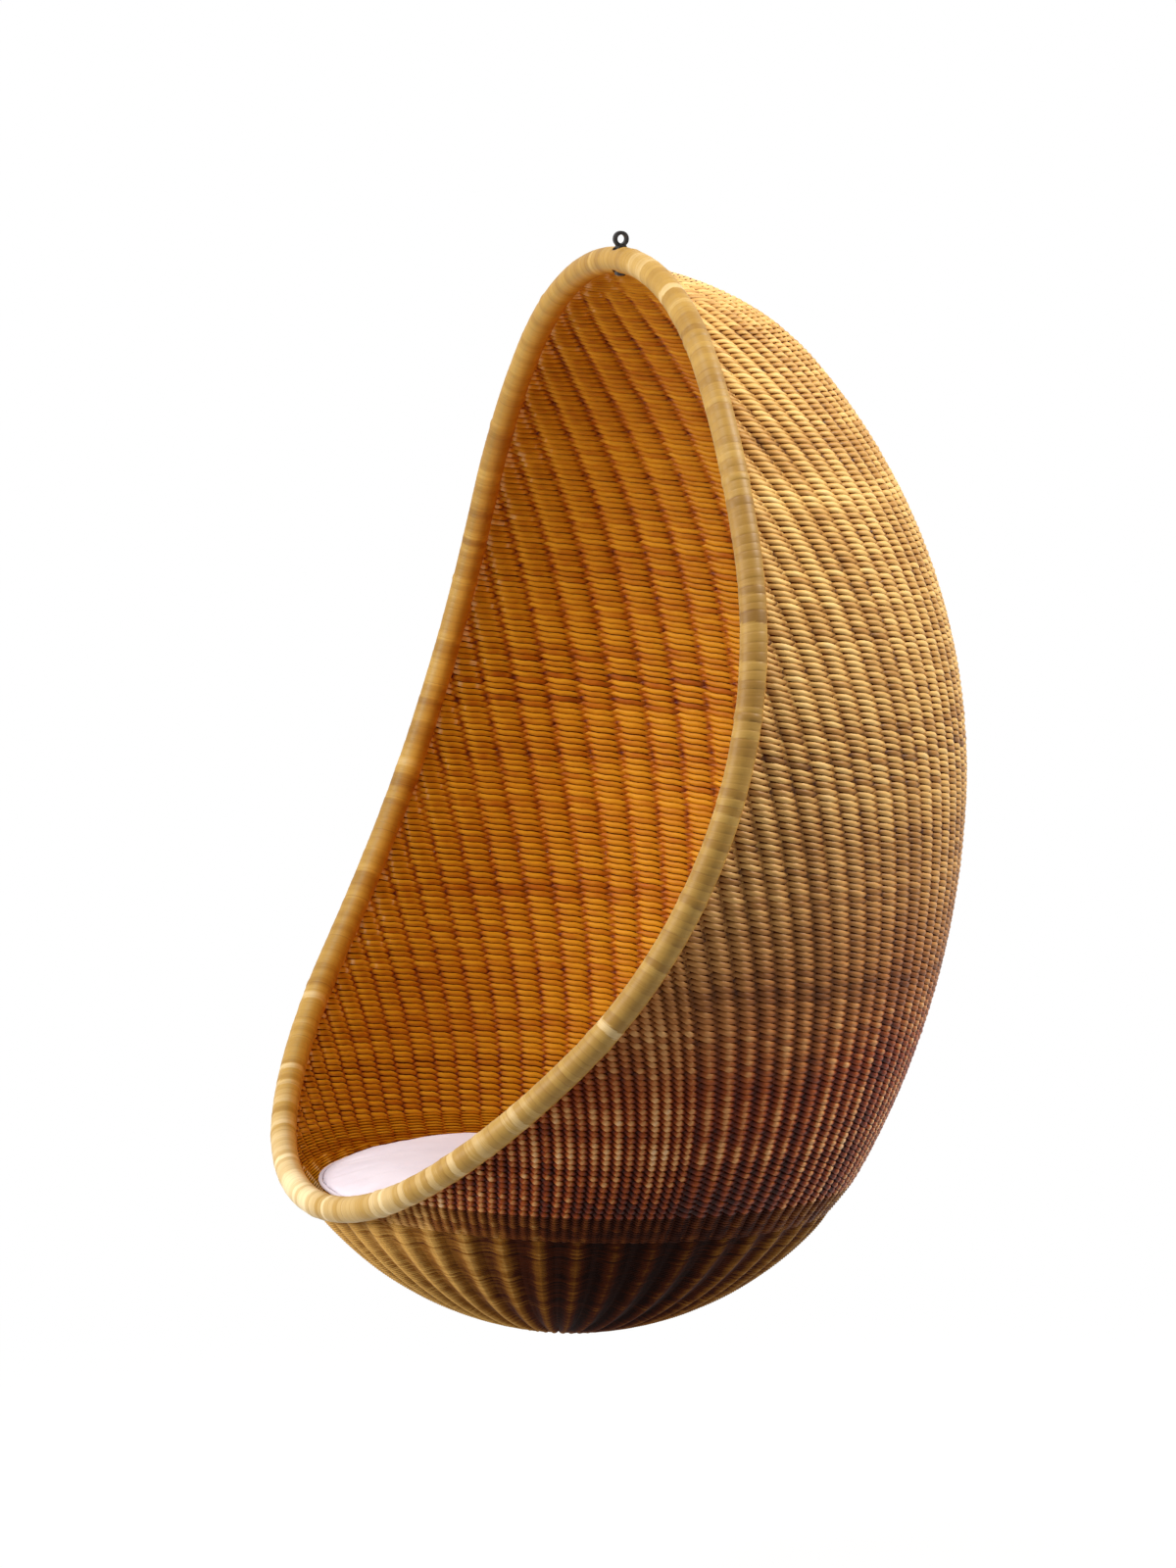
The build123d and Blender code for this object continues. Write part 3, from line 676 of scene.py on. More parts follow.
def twined_course(strands, index, reach, step, swing, radius, offset, per_stick, tone, ridge=1.0):
    """Two strands that twist round each other between the sticks of the base.
    A higher ridge hugs the sticks more."""
    r, z = section_at(reach)
    limit = mouth_limit(r, z)
    closed = limit >= math.pi - 1e-6
    last = limit / step
    count = max(8, int(round(2 * last * per_stick)))
    stick = np.linspace(-last, last, count, endpoint=not closed)
    azimuth = stick * step
    wave = np.sin(math.pi * stick)
    twist = np.cos(math.pi * stick)
    over = np.abs(wave)
    # Painted light and shade round the base, fading in towards the disc
    painted_light = base_painted_light(azimuth) * np.clip((r - BASE_LIGHT_FROM) / BASE_LIGHT_FADE, 0, 1)
    for side in (1, -1):
        out = side * swing * np.sign(wave) * over**ridge
        slack = BASE_SLACK * wander(azimuth * r, index * 2 + side, BASE_SLACK_PACE)
        lift = side * twist * radius * BASE_TWIST + slack
        centre, normal = on_wall(reach, azimuth, offset + out, lift)
        # Painted crest highlights, valley shade and the base's painted light and shade
        shade = tone + row_tone(index * 2 + side, 9) - MIDDLE_TONE + crest_painted_light(over) + painted_light
        width = radius * BASE_WEAVER_FLATNESS
        strands.add(centre, normal, radius, np.clip(shade, 0, 1), closed, width=width)


# Side weave, in the frame's stages. The lower half of a stage's courses stands for its outer skin
# and the upper half for its inner skin
dark_rows = {int(reach_at_height(h) / COURSE_PITCH): depth for h, depth in DARK_COURSES.items()}
for stage, low, high in (
    ("lower", reach_at_height(BAND_TOP), reach_at_height(LOWER_TOP)),
    ("middle", reach_at_height(LOWER_TOP), reach_at_height(MIDDLE_TOP)),
    ("upper", reach_at_height(MIDDLE_TOP), reach_at_height(UPPER_TOP)),
    ("crown", reach_at_height(UPPER_TOP), LAST_REACH - COURSE_END_GAP),
):
    first = math.ceil(low / COURSE_PITCH)
    last = math.ceil(high / COURSE_PITCH)
    middle = (first + last) // 2
    for half, skin, rows in (
        ("below", "outside", range(first, middle)),
        ("above", "inside", range(middle, last)),
    ):
        strands = Strands(6)
        for index in rows:
            side_course(strands, index, index * COURSE_PITCH, dark_rows.get(index, 0.0))
        woven = strands.build(f"{stage}_courses_{half}")
        keep(woven, "egg", "weave_outside", f"{stage}_weave_{skin}")


def make_stakes(name, low, high):
    """Stakes whose feet stand between two azimuths, slanting towards the mouth as they rise.
    Every second one ends before the crown."""
    strands = Strands(6)
    foot_reach = reach_at_height(BAND_BOTTOM) - STAKE_FOOT_TUCK
    reach = np.arange(foot_reach, LAST_REACH - STAKE_END_GAP, STAKE_POINT_STEP)
    r, z = section_at(reach)
    for k in range(int(stakes_passed(-math.pi)), int(stakes_passed(math.pi))):
        stake = k + 0.5
        foot = float(azimuth_of(stake))
        if not low <= foot < high:
            continue
        azimuth = foot * fan(z) + STAKE_WANDER / r * wander(reach, k + STAKE_SEED, STAKE_PACE)
        end_radius = SPARSE_RADIUS if k % 2 else 0.0
        inside = r * np.cos(azimuth) > mouth_side(z) + RIM_TUCK
        inside = inside & (r > end_radius) & (np.abs(azimuth) < math.pi)
        end = len(reach) if inside.all() else int(np.argmin(inside))
        if end < 3:
            continue
        centre, normal = on_wall(reach[:end], azimuth[:end], 0.0)
        spacing = r * fan(z) * (azimuth_of(stake + 0.5) - azimuth_of(stake - 0.5))
        width = STAKE_SHARE * np.clip(spacing, *STAKE_SPACING)[:end]
        tone = MIDDLE_TONE + STAKE_TONE_SPREAD * RANDOM.standard_normal()
        strands.add(centre, normal, STAKE_DEPTH, tone, width=width)
    keep(strands.build(name + "_bent"), "egg", "stakes", name)


make_stakes("right_stakes", math.pi / 3, math.pi)
make_stakes("back_stakes", -math.pi / 3, math.pi / 3)
make_stakes("left_stakes", -math.pi, -math.pi / 3)

# Waling band
strands = Strands(5)
rows = np.arange(reach_at_height(BAND_BOTTOM), reach_at_height(BAND_TOP), BAND_COURSE_PITCH)
for index, reach in enumerate(rows):
    side_course(strands, index + BAND_SEED, reach, band=index / (len(rows) - 1))
keep(strands.build("waling_band"), "egg", "band", "upsett_band")

# Base weave, flatter and darker near the band
rows_end = reach_at_height(BAND_BOTTOM) + BASE_BAND_LAP
rows = np.arange(BASE_DISC_RADIUS + BASE_DISC_GAP, rows_end, BASE_COURSE_PITCH)
base_swing = BASE_STICK_RADIUS + BASE_WEAVER_RADIUS
split = int(len(rows) * BASE_SPLIT)
for half, skin, courses in (
    ("below", "outside", range(split)),
    ("above", "inside", range(split, len(rows))),
):
    strands = Strands(5)
    for index in courses:
        near_band = (rows[index] - rows[-1] + BASE_BAND_REACH) / BASE_BAND_REACH
        near_band = np.clip(near_band, 0, 1) ** 2
        from_disc = np.clip((rows[index] - BASE_DISC_RADIUS) / BASE_RIDGE_REACH, 0, 1)
        twined_course(
            strands,
            index + BASE_SEED,
            rows[index],
            BASE_STEP,
            base_swing * (1 - BASE_BAND_FLATTENING * near_band),
            BASE_WEAVER_RADIUS if index else BASE_FIRST_RADIUS,
            BASE_LINE - STAKE_LINE,
            BASE_POINTS_PER_STICK,
            BASE_TONE - BASE_BAND_DARKENING * near_band,
            ridge=BASE_RIDGE + BASE_RIDGE_GAIN * from_disc,
        )
    keep(strands.build(f"base_courses_{half}"), "egg", "weave_outside", f"base_weave_{skin}")

# Base disc
strands = Strands(6)
rows = np.arange(DISC_FIRST_COURSE, BASE_DISC_RADIUS + DISC_EDGE_LAP, DISC_COURSE_PITCH)
for index, reach in enumerate(rows):
    sticks = DISC_STICK_COUNT if reach > DISC_DOUBLE_FROM else DISC_STICK_COUNT // 2
    swing = DISC_SWING * np.clip(reach / DISC_SWING_REACH, DISC_SWING_LEAST, 1)
    twined_course(
        strands,
        index + DISC_SEED,
        reach,
        FULL_TURN / sticks,
        swing,
        DISC_WEAVER_RADIUS,
        DISC_OFFSET + DISC_DISH * (DISC_SWING - swing),
        DISC_POINTS_PER_STICK,
        DISC_TONE,
    )
run = np.linspace(-BASE_DISC_RADIUS, BASE_DISC_RADIUS, DISC_STICK_POINTS)
for k in range(DISC_STICK_COUNT // 2):
    azimuth = math.pi * (k + 0.5) / (DISC_STICK_COUNT // 2)
    azimuth = np.where(run < 0, azimuth + math.pi, azimuth)
    point, normal = on_wall(np.abs(run), azimuth, BASE_LINE - STAKE_LINE)
    level = DISC_CROSSING * np.sin(k * DISC_CROSSING_STEP) * bell(run, DISC_CROSSING_REACH)
    strands.add(point + normal * level[:, None], normal, DISC_STICK_RADIUS, DISC_TONE)
keep(strands.build("base_start"), "egg", "weave_outside", "base_disc")

# Rim


def rim_line():
    """Closed rim line, from the lip round: points, outward wall normals and running length."""
    angle = np.linspace(0.02, math.pi - 0.001, RIM_SEARCH_STEPS + 1)
    r, z = oval(angle, -RIM_INSET)
    spread = r**2 - mouth_side(z) ** 2
    on = spread > 0
    angle, r, z = angle[on], r[on], z[on]
    half_points = np.stack([np.sqrt(spread[on]), mouth_side(z), z], -1)
    level = [np.sin(angle) * half_points[:, a] / r for a in (0, 1)]
    half_normals = np.stack([*level, -np.cos(angle)], -1)

    def both_halves(half):
        loop = np.concatenate([half, half[::-1] * np.array([-1.0, 1, 1])])
        return np.concatenate([loop, loop[:1]])

    points = both_halves(half_points)
    normals = both_halves(half_normals)
    step = np.linalg.norm(np.diff(points, axis=0), axis=1)
    reach = np.concatenate([[0.0], np.cumsum(step)])
    at = np.linspace(0, reach[-1], RIM_STEPS, endpoint=False)
    point = np.stack([np.interp(at, reach, points[:, a]) for a in range(3)], -1)
    normal = np.stack([np.interp(at, reach, normals[:, a]) for a in range(3)], -1)
    return point, normal, reach[-1]


RIM_POINTS, RIM_NORMALS, RIM_LENGTH = rim_line()


def along_rim(at):
    """Centre, outward normal and sideways direction of the rim at running lengths."""
    x = np.mod(at, RIM_LENGTH) / RIM_LENGTH * RIM_STEPS
    i = np.floor(x).astype(int) % RIM_STEPS
    f = (x - np.floor(x))[..., None]
    j = (i + 1) % RIM_STEPS
    centre = RIM_POINTS[i] * (1 - f) + RIM_POINTS[j] * f
    tangent = RIM_POINTS[(i + 3) % RIM_STEPS] - RIM_POINTS[(i - 2) % RIM_STEPS]
    tangent /= np.linalg.norm(tangent, axis=-1, keepdims=True)
    out = RIM_NORMALS[i] * (1 - f) + RIM_NORMALS[j] * f
    out -= (out * tangent).sum(-1, keepdims=True) * tangent
    out /= np.linalg.norm(out, axis=-1, keepdims=True)
    return centre, out, np.cross(tangent, out)


def peel_strips(turns):
    """Shade of the strip of peel at each turn, and the turns at which a new strip starts."""
    shade = np.zeros(turns)
    starts = np.zeros(turns, bool)
    t = 0
    while t < turns:
        length = int(RANDOM.integers(*STRIP_TURNS))
        starts[t] = True
        shade[t : t + length] = STRIP_TONE + STRIP_TONE_SPREAD * RANDOM.standard_normal()
        t += length
    return shade, starts


def wrap_quads(rows, sides, per_turn):
    """Faces of a winding, whose last column joins the first one a turn further on."""
    i = np.arange(rows)
    i2 = (i + 1) % rows
    columns = []
    for k in range(sides):
        k2 = (k + 1) % sides
        shift = per_turn if k == sides - 1 else 0
        near = (i + shift) % rows * sides + k2
        far = (i2 + shift) % rows * sides + k2
        columns.append(np.stack([i * sides + k, near, far, i2 * sides + k], -1))
    return np.concatenate(columns)


def wrap_uv(quads, count, across, rows, sides, per_turn):
    """Metres along the strip and share of the way across it, mended where either starts again."""
    girth = FULL_TURN * RIM_RADIUS / 1000
    per_point = np.stack([count * girth, across], -1).reshape(-1, 2)
    uv = per_point[quads.ravel()].reshape(-1, 4, 2)
    row = np.tile(np.arange(rows), sides)
    column = np.repeat(np.arange(sides), rows)
    uv[row % per_turn == per_turn - 1, 2:, 1] = 1.0
    again = (column == sides - 1) | (row >= rows - 2 * per_turn)
    uv[again, 1:3, 0] = uv[again, 0:1, 0] + girth / sides
    return uv


def make_wrap():
    """Peel wound round the rim, one helical strip after another, with turns of uneven width."""
    turns = int(RIM_LENGTH / WRAP_PITCH)
    widths = 1 + TURN_WIDTH_SPREAD * RANDOM.standard_normal(turns)
    edges = np.concatenate([[0.0], np.cumsum(np.clip(widths, *TURN_WIDTHS))])
    edges *= RIM_LENGTH / edges[-1]
    shade, starts = peel_strips(turns)
    turn_lift = TURN_LIFT_SPREAD * RANDOM.standard_normal(turns)
    turn_lift[starts] += STRIP_START_LIFT

    per_turn = len(WRAP_PHASES)
    rows = turns * per_turn
    i = np.arange(rows)
    j = np.arange(WRAP_SIDES)
    phase = WRAP_PHASES[i % per_turn][:, None]
    count = (i // per_turn)[:, None] + phase + (j / WRAP_SIDES)[None, :]
    at = np.interp(count, np.arange(turns + 3), np.concatenate([edges, edges[-1] + edges[1:3]]))
    centre, out, side = along_rim(at)
    angle = FULL_TURN * j / WRAP_SIDES
    direction = np.cos(angle)[None, :, None] * out + np.sin(angle)[None, :, None] * side
    turn = np.floor(count).astype(int) % turns
    across = count - np.floor(count)
    edge_fall = 1 - np.clip(np.minimum(across, 1 - across) * TURN_EDGE_STEEPNESS, 0, 1)
    crown = WRAP_CROWN[i % per_turn][:, None]
    radius = RIM_RADIUS - WRAP_SINK + crown + turn_lift[turn] * (1 - edge_fall)
    points = (centre + direction * radius[..., None]).reshape(-1, 3)
    quads = wrap_quads(rows, WRAP_SIDES, per_turn)
    phases = np.broadcast_to(phase, count.shape)
    uv = wrap_uv(quads, count, phases, rows, WRAP_SIDES, per_turn)

    tone = shade[turn] + TURN_TONE_SPREAD * RANDOM.standard_normal(turns)[turn]
    from_lip = np.mod(at, RIM_LENGTH)
    from_lip = np.minimum(from_lip, RIM_LENGTH - from_lip)
    # Painted light, paler round the lip and along the top
    tone = tone + LIP_PAINTED_LIGHT * bell(from_lip, LIP_PAINTED_LIGHT_REACH)
    tone = tone + TOP_PAINTED_LIGHT * bell(from_lip - RIM_LENGTH / 2, TOP_PAINTED_LIGHT_REACH)
    edge_depth = np.where(RANDOM.random(turns) < DARK_EDGE_SHARE, 1.0, FAINT_EDGE)
    edge = (i % per_turn == 0)[:, None] * edge_depth[turn]
    # Painted bounce light from the amber inside, where the peel faces into the egg
    painted_bounce = BOUNCE_SIDEWAYS * np.sin(angle) - BOUNCE_INWARDS * np.cos(angle)
    painted_bounce = np.broadcast_to(np.clip(painted_bounce, 0, 1) ** BOUNCE_POWER, count.shape)
    values = {"tone": np.clip(tone, 0, 1).ravel(), "edge": edge.ravel(), "painted_bounce": painted_bounce.ravel()}
    return smooth_object("rim_peel", to_frame(points), quads, uv, values)


def pocket_tool():
    """Upright bore through the rim, with seats for the bush's flange and for the load washer."""
    low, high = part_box("swivel_bush")
    wide = high.x + POCKET_FIT / 1000
    narrow = (BUSH_RADIUS + POCKET_FIT) / 1000
    flange_seat = high.z - FLANGE_THICKNESS / 1000
    reach = 2 * RIM_RADIUS / 1000
    section = [
        (wide, low.z - reach),
        (wide, low.z),
        (narrow, low.z),
        (narrow, flange_seat),
        (wide, flange_seat),
        (wide, flange_seat + reach),
    ]
    turn = round_angles(POCKET_SIDES)
    points = [(r * math.cos(a), r * math.sin(a), z) for r, z in section for a in turn]
    bottom = list(range(POCKET_SIDES))[::-1]
    top = list(range(len(points) - POCKET_SIDES, len(points)))
    return faced_object("pocket", points, [bottom, top] + turned_quads(len(section), POCKET_SIDES))


def cut(obj, tool):
    """Takes the tool's room out of the object."""
    boolean = obj.modifiers.new("cut", "BOOLEAN")
    boolean.operation = "DIFFERENCE"
    boolean.solver = "EXACT"
    boolean.object = tool
    settle(obj)
    return obj


pocket = pocket_tool()
keep(cut(make_wrap(), pocket), "egg", "rim_wrap", "rim_wrap")
strands = Strands(12)
pole_centre, pole_out, _ = along_rim(np.linspace(0, RIM_LENGTH, POLE_STEPS, endpoint=False))
strands.add(pole_centre, pole_out, POLE_RADIUS, MIDDLE_TONE, closed=True)
keep(cut(strands.build("rim_pole_bent"), pocket), "egg", "rim_pole", "rim_pole")
bpy.data.objects.remove(pocket)

# Cushion


def pad_section():
    """Radius and height round the pad, from the middle of its underside to that of its top."""
    bowl = BASE_ARC_RADIUS - WALL_DEPTH - PAD_CLEARANCE

    def bowl_height(radius):
        return BASE_ARC_RADIUS - math.sqrt(bowl**2 - radius**2)

    middle = bowl_height(PAD_FLAT_RADIUS) - PAD_UNDER_SAG
    section = [(r, middle + PAD_UNDER_SAG * (r / PAD_FLAT_RADIUS) ** 2) for r in PAD_UNDER_RADII]
    for r in np.linspace(PAD_FLAT_RADIUS, PAD_BED_RADIUS, PAD_BED_STEPS):
        section.append((r, bowl_height(r)))
    bed = bowl_height(PAD_BED_RADIUS)
    for share in PAD_SIDE_SHARES:
        pull = PAD_SIDE_PULL * math.sin(math.pi * share)
        r = PAD_BED_RADIUS + (PAD_EDGE_RADIUS - PAD_BED_RADIUS) * share - pull
        section.append((r, bed + (WELT_HEIGHT - bed) * share))
    section += [(r, WELT_HEIGHT + rise) for r, rise in PAD_CROWN]
    return np.array(section, float).T


def make_pad():
    """Closed pad turned from its section."""
    r, z = pad_section()
    turn = round_angles(PAD_SIDES)
    level = np.repeat(z[:, None], PAD_SIDES, 1)
    rings = np.stack([r[:, None] * np.sin(turn), r[:, None] * np.cos(turn), level], -1)
    points = np.concatenate([rings.reshape(-1, 3), [[0, 0, z[0]], [0, 0, z[-1]]]])
    last_ring = (len(r) - 1) * PAD_SIDES
    bottom = len(r) * PAD_SIDES
    top = bottom + 1
    faces = turned_quads(len(r), PAD_SIDES)
    for k in range(PAD_SIDES):
        k2 = (k + 1) % PAD_SIDES
        faces.append([bottom, k2, k])
        faces.append([last_ring + k, last_ring + k2, top])
    return faced_object("seat_pad", to_frame(points), faces)


def mesh_points(mesh):
    """A mesh's points as an array, in metres."""
    points = np.empty(len(mesh.vertices) * 3, np.float32)
    mesh.vertices.foreach_get("co", points)
    return points.reshape(-1, 3)


def puff(obj):
    """Fills a closed pad by cloth simulation, held at its seam and where it lies in the bowl.
    Points slow down towards the furthest swell."""
    remesh = obj.modifiers.new("remesh", "REMESH")
    remesh.mode = "VOXEL"
    remesh.voxel_size = PAD_VOXEL
    settle(obj)
    start = mesh_points(obj.data)
    height = ((start * 1000 - EGG_ORIGIN) @ LEAN)[:, 2]
    held = np.abs(height - WELT_HEIGHT) < SEAM_HALF_WIDTH
    held = held | (height < WELT_HEIGHT - HELD_BELOW_SEAM)
    seam = obj.vertex_groups.new(name="seam")
    seam.add([int(i) for i in np.flatnonzero(held)], 1.0, "REPLACE")
    cloth = obj.modifiers.new("cloth", "CLOTH").settings
    cloth.vertex_group_mass = "seam"
    cloth.use_pressure = True
    cloth.uniform_pressure_force = PAD_PRESSURE
    cloth.shrink_min = -PAD_SLACK
    cloth.quality = PAD_CLOTH_QUALITY
    cloth.effector_weights.gravity = 0
    for step in range(1, PAD_SWELL_STEPS + 1):
        bpy.context.scene.frame_set(step)
    settle(obj)
    obj.vertex_groups.clear()
    move = mesh_points(obj.data) - start
    size = np.linalg.norm(move, axis=1, keepdims=True)
    move *= PAD_MOST_SWELL / np.sqrt(PAD_MOST_SWELL**2 + size**2)
    obj.data.vertices.foreach_set("co", (start + move).ravel())
    obj.data.update()
    bpy.context.scene.frame_set(1)
    smooth = obj.modifiers.new("subdivision", "SUBSURF")
    smooth.levels = smooth.render_levels = 1
    settle(obj)


pad = make_pad()
puff(pad)
for polygon in pad.data.polygons:
    polygon.use_smooth = True
keep(pad, "cushion", "cushion_cover", "cushion_cover", "cushion_foam")

strands = Strands(10)
turn = np.linspace(0, FULL_TURN, WELT_STEPS, endpoint=False)
welt_out = np.stack([np.sin(turn), np.cos(turn), np.zeros(WELT_STEPS)], -1)
welt_centre = WELT_RADIUS * welt_out + np.array([0, 0, WELT_HEIGHT])
strands.add(welt_centre, welt_out, WELT_HALF_THICKNESS, MIDDLE_TONE, closed=True)
keep(strands.build("seat_pad_welt"), "cushion", "cushion_cover", "cushion_welt")

# Finishes


def linear(value):
    """Linear value of one 0 to 255 display value."""
    share = value / 255
    return share / 12.92 if share <= 0.04045 else ((share + 0.055) / 1.055) ** 2.4


def shades(*stops):
    """Stops of a colour ramp: a place and three 0 to 255 display values each."""
    return [(place, tuple(linear(v) for v in colour)) for place, *colour in stops]


def greys(*stops):
    """Stops of a ramp of plain values: a place and a value each."""
    return [(place, (value, value, value)) for place, value in stops]


STRAW = shades((0.0, 74, 36, 14), (0.3, 180, 130, 66), (0.55, 224, 182, 108), (1.0, 240, 212, 150))
# Inside colour: warmer than the straw outside, partly as painted bounce light between the walls
AMBER = shades(
    (0.0, 84, 18, 4),
    (0.3, 173, 93, 10),
    (0.55, 203, 135, 21),
    (0.75, 219, 152, 34),
    (1.0, 240, 200, 136),
)
# Low outside colour: browner and darker towards the bottom, partly the rattan's own brown and
# partly painted shade
LOW_BROWN_AND_SHADE = shades(
    (0.0, 42, 8, 2),
    (0.3, 102, 34, 6),
    (0.55, 150, 68, 16),
    (0.8, 206, 148, 90),
    (1.0, 234, 196, 152),
)
# Base: darker than the side's straw, partly as painted shade of the underside
BASE_STRAW = shades((0.0, 24, 6, 2), (0.3, 68, 27, 8), (0.6, 132, 84, 28), (1.0, 204, 158, 84))
# Stakes: darker than the weavers, as painted shade in the gaps between the courses, and darker
# still low down
STAKE_DARK = shades((0.0, 50, 18, 8), (0.5, 92, 38, 14), (1.0, 120, 62, 26))
STAKE_LOW = shades((0.0, 28, 7, 3), (1.0, 56, 18, 6))
# Band: dark like the base, partly as painted shade
BAND_DARK = shades((0.0, 46, 17, 8), (0.3, 90, 42, 17), (0.6, 132, 80, 32), (1.0, 208, 162, 96))
PEEL_STRAW = shades(
    (0.0, 104, 68, 22), (0.4, 152, 113, 46), (0.65, 176, 138, 66), (1.0, 236, 212, 164)
)
PEEL_BOUNCE_AMBER = shades((0.2, 176, 104, 8), (0.8, 226, 160, 36))
PEEL_EDGE = (*(linear(v) for v in (120, 80, 36)), 1)
PALE_CLOTH = shades((0.3, 212, 201, 212), (0.7, 230, 221, 230))
STEEL_DARK = shades((0.35, 34, 32, 32), (0.75, 62, 58, 56))
BRASS_YELLOW = shades((0.35, 150, 112, 52), (0.75, 190, 150, 84))

# Where the brown and painted shade of the lower part ends, in metres, and its share on the way up
BROWN_AND_SHADE_HEIGHTS = (-1.17, -0.27)
BROWN_AND_SHADE_SHARE = greys((0.0, 1), (0.38, 1), (0.55, 0.62), (0.72, 0.2), (1.0, 0))
BROWN_AND_SHADE_PATCHES = 4.5
BROWN_AND_SHADE_RAGGEDNESS = 0.16

# How far strands turn inwards before and after their colour changes to that of the inside
INSIDE_FADE = (0.35, 0.62)

# Fibres per metre along a strand and per turn round it, and heights of relief in metres
CORE_FIBRES = {"Along": 14.0, "Across": 9.0}
PEEL_FIBRES = {"Along": 9.0, "Across": 16.0}
CORE_MOTTLING = 0.5
PEEL_STREAKING = 0.35
PEEL_BOUNCE = 0.9
PEEL_EDGE_SHARE = 0.5
FIBRE_RELIEF = 0.0004
THREAD_SCALE = 260.0
THREAD_RELIEF = 0.0003
METAL_GRAIN = 220.0
METAL_RELIEF = 0.0002


def feed(tree, node, inputs):
    """Sets a node's inputs to values, or links them to sockets."""
    for key, value in inputs.items():
        if isinstance(value, bpy.types.NodeSocket):
            tree.links.new(value, node.inputs[key])
        else:
            node.inputs[key].default_value = value


def add(tree, kind, inputs=None, **settings):
    """One node, with its settings and inputs."""
    node = tree.nodes.new(kind)
    for key, value in settings.items():
        setattr(node, key, value)
    feed(tree, node, inputs or {})
    return node


def calculate(tree, operation, *values):
    """Result of a sum on values or sockets."""
    return add(tree, "ShaderNodeMath", dict(enumerate(values)), operation=operation).outputs[0]


def remap(tree, value, start=0.0, end=1.0, low=0.0, high=1.0):
    """Value that runs from low to high as another runs from start to end."""
    ends = {"From Min": start, "From Max": end, "To Min": low, "To Max": high}
    return add(tree, "ShaderNodeMapRange", {"Value": value, **ends}).outputs[0]


def noise(tree, vector, scale, detail):
    """Smooth random value over the surface."""
    inputs = {"Vector": vector, "Scale": scale, "Detail": detail}
    return add(tree, "ShaderNodeTexNoise", inputs).outputs["Fac"]


def mix(tree, share, first, second):
    """Colour on the way from the first to the second."""
    inputs = {"Factor": share, "A": first, "B": second}
    return add(tree, "ShaderNodeMix", inputs, data_type="RGBA").outputs["Result"]


def ramp(tree, factor, stops):
    """Colour of a ramp."""
    node = add(tree, "ShaderNodeValToRGB", {"Fac": factor})
    elements = node.color_ramp.elements
    while len(elements) < len(stops):
        elements.new(0.5)
    for element, (place, colour) in zip(elements, stops):
        element.position = place
        element.color = (*colour, 1)
    return node.outputs["Color"]


def bump(tree, height, strength, distance):
    """Normal of a relief."""
    inputs = {"Height": height, "Strength": strength, "Distance": distance}
    return add(tree, "ShaderNodeBump", inputs).outputs[0]


def value_of(tree, name):
    """Value that the mesh carries under this name."""
    return add(tree, "ShaderNodeAttribute", attribute_name=name).outputs["Fac"]


def place_of(tree):
    """Place on the piece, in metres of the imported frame."""
    return add(tree, "ShaderNodeTexCoord").outputs["Object"]


def new_group(name, inputs, outputs):
    """Empty shader node group: its tree, its input sockets and its output node."""
    group = bpy.data.node_groups.new(name, "ShaderNodeTree")
    for socket, kind in inputs.items():
        group.interface.new_socket(socket, in_out="INPUT", socket_type=kind)
    for socket in outputs:
        group.interface.new_socket(socket, in_out="OUTPUT", socket_type="NodeSocketFloat")
    return group, group.nodes.new("NodeGroupInput").outputs, group.nodes.new("NodeGroupOutput")


def fibre_group():
    """Fibres of a strand: fine streaks along it, and a slow mottle."""
    inputs = {"Vector": "NodeSocketVector", "Along": "NodeSocketFloat", "Across": "NodeSocketFloat"}
    group, given, result = new_group("fibre_streaks", inputs, ("Streak", "Mottle"))
    split = add(group, "ShaderNodeSeparateXYZ", {"Vector": given["Vector"]}).outputs
    along = calculate(group, "MULTIPLY", split["X"], given["Along"])
    across = calculate(group, "MULTIPLY", split["Y"], given["Across"])
    place = add(group, "ShaderNodeCombineXYZ", {"X": along, "Y": across}).outputs[0]
    slow = add(group, "ShaderNodeCombineXYZ", {"X": along}).outputs[0]
    streak = noise(group, place, 1.0, 3.0)
    feed(group, result, {"Streak": streak, "Mottle": noise(group, slow, 2.3, 2.0)})
    return group


def brown_and_shade_group():
    """Share of the lower part's brown and painted shade, with a ragged edge: one at the bottom,
    nought above.
    """
    group, given, result = new_group("low_brown_and_shade", {"Vector": "NodeSocketVector"}, ("Share",))
    height = add(group, "ShaderNodeSeparateXYZ", {"Vector": given["Vector"]}).outputs["Z"]
    patches = noise(group, given["Vector"], BROWN_AND_SHADE_PATCHES, 2.0)
    ragged = calculate(group, "MULTIPLY_ADD", patches, BROWN_AND_SHADE_RAGGEDNESS, height)
    way_up = remap(group, ragged, *BROWN_AND_SHADE_HEIGHTS)
    feed(group, result, {"Share": ramp(group, way_up, BROWN_AND_SHADE_SHARE)})
    return group


def grain_group():
    """Fine mottle of a metal surface."""
    group, given, result = new_group("metal_grain", {"Vector": "NodeSocketVector"}, ("Grain",))
    feed(group, result, {"Grain": noise(group, given["Vector"], METAL_GRAIN, 4.0)})
    return group


FIBRES = fibre_group()
BROWN_AND_SHADE = brown_and_shade_group()
GRAIN = grain_group()


def make_material(name):
    """Material with one shader: the material, its tree and the shader."""
    material = bpy.data.materials.new(name)
    material.use_nodes = True
    tree = material.node_tree
    tree.nodes.clear()
    output = tree.nodes.new("ShaderNodeOutputMaterial")
    shader = tree.nodes.new("ShaderNodeBsdfPrincipled")
    tree.links.new(shader.outputs[0], output.inputs[0])
    return material, tree, shader


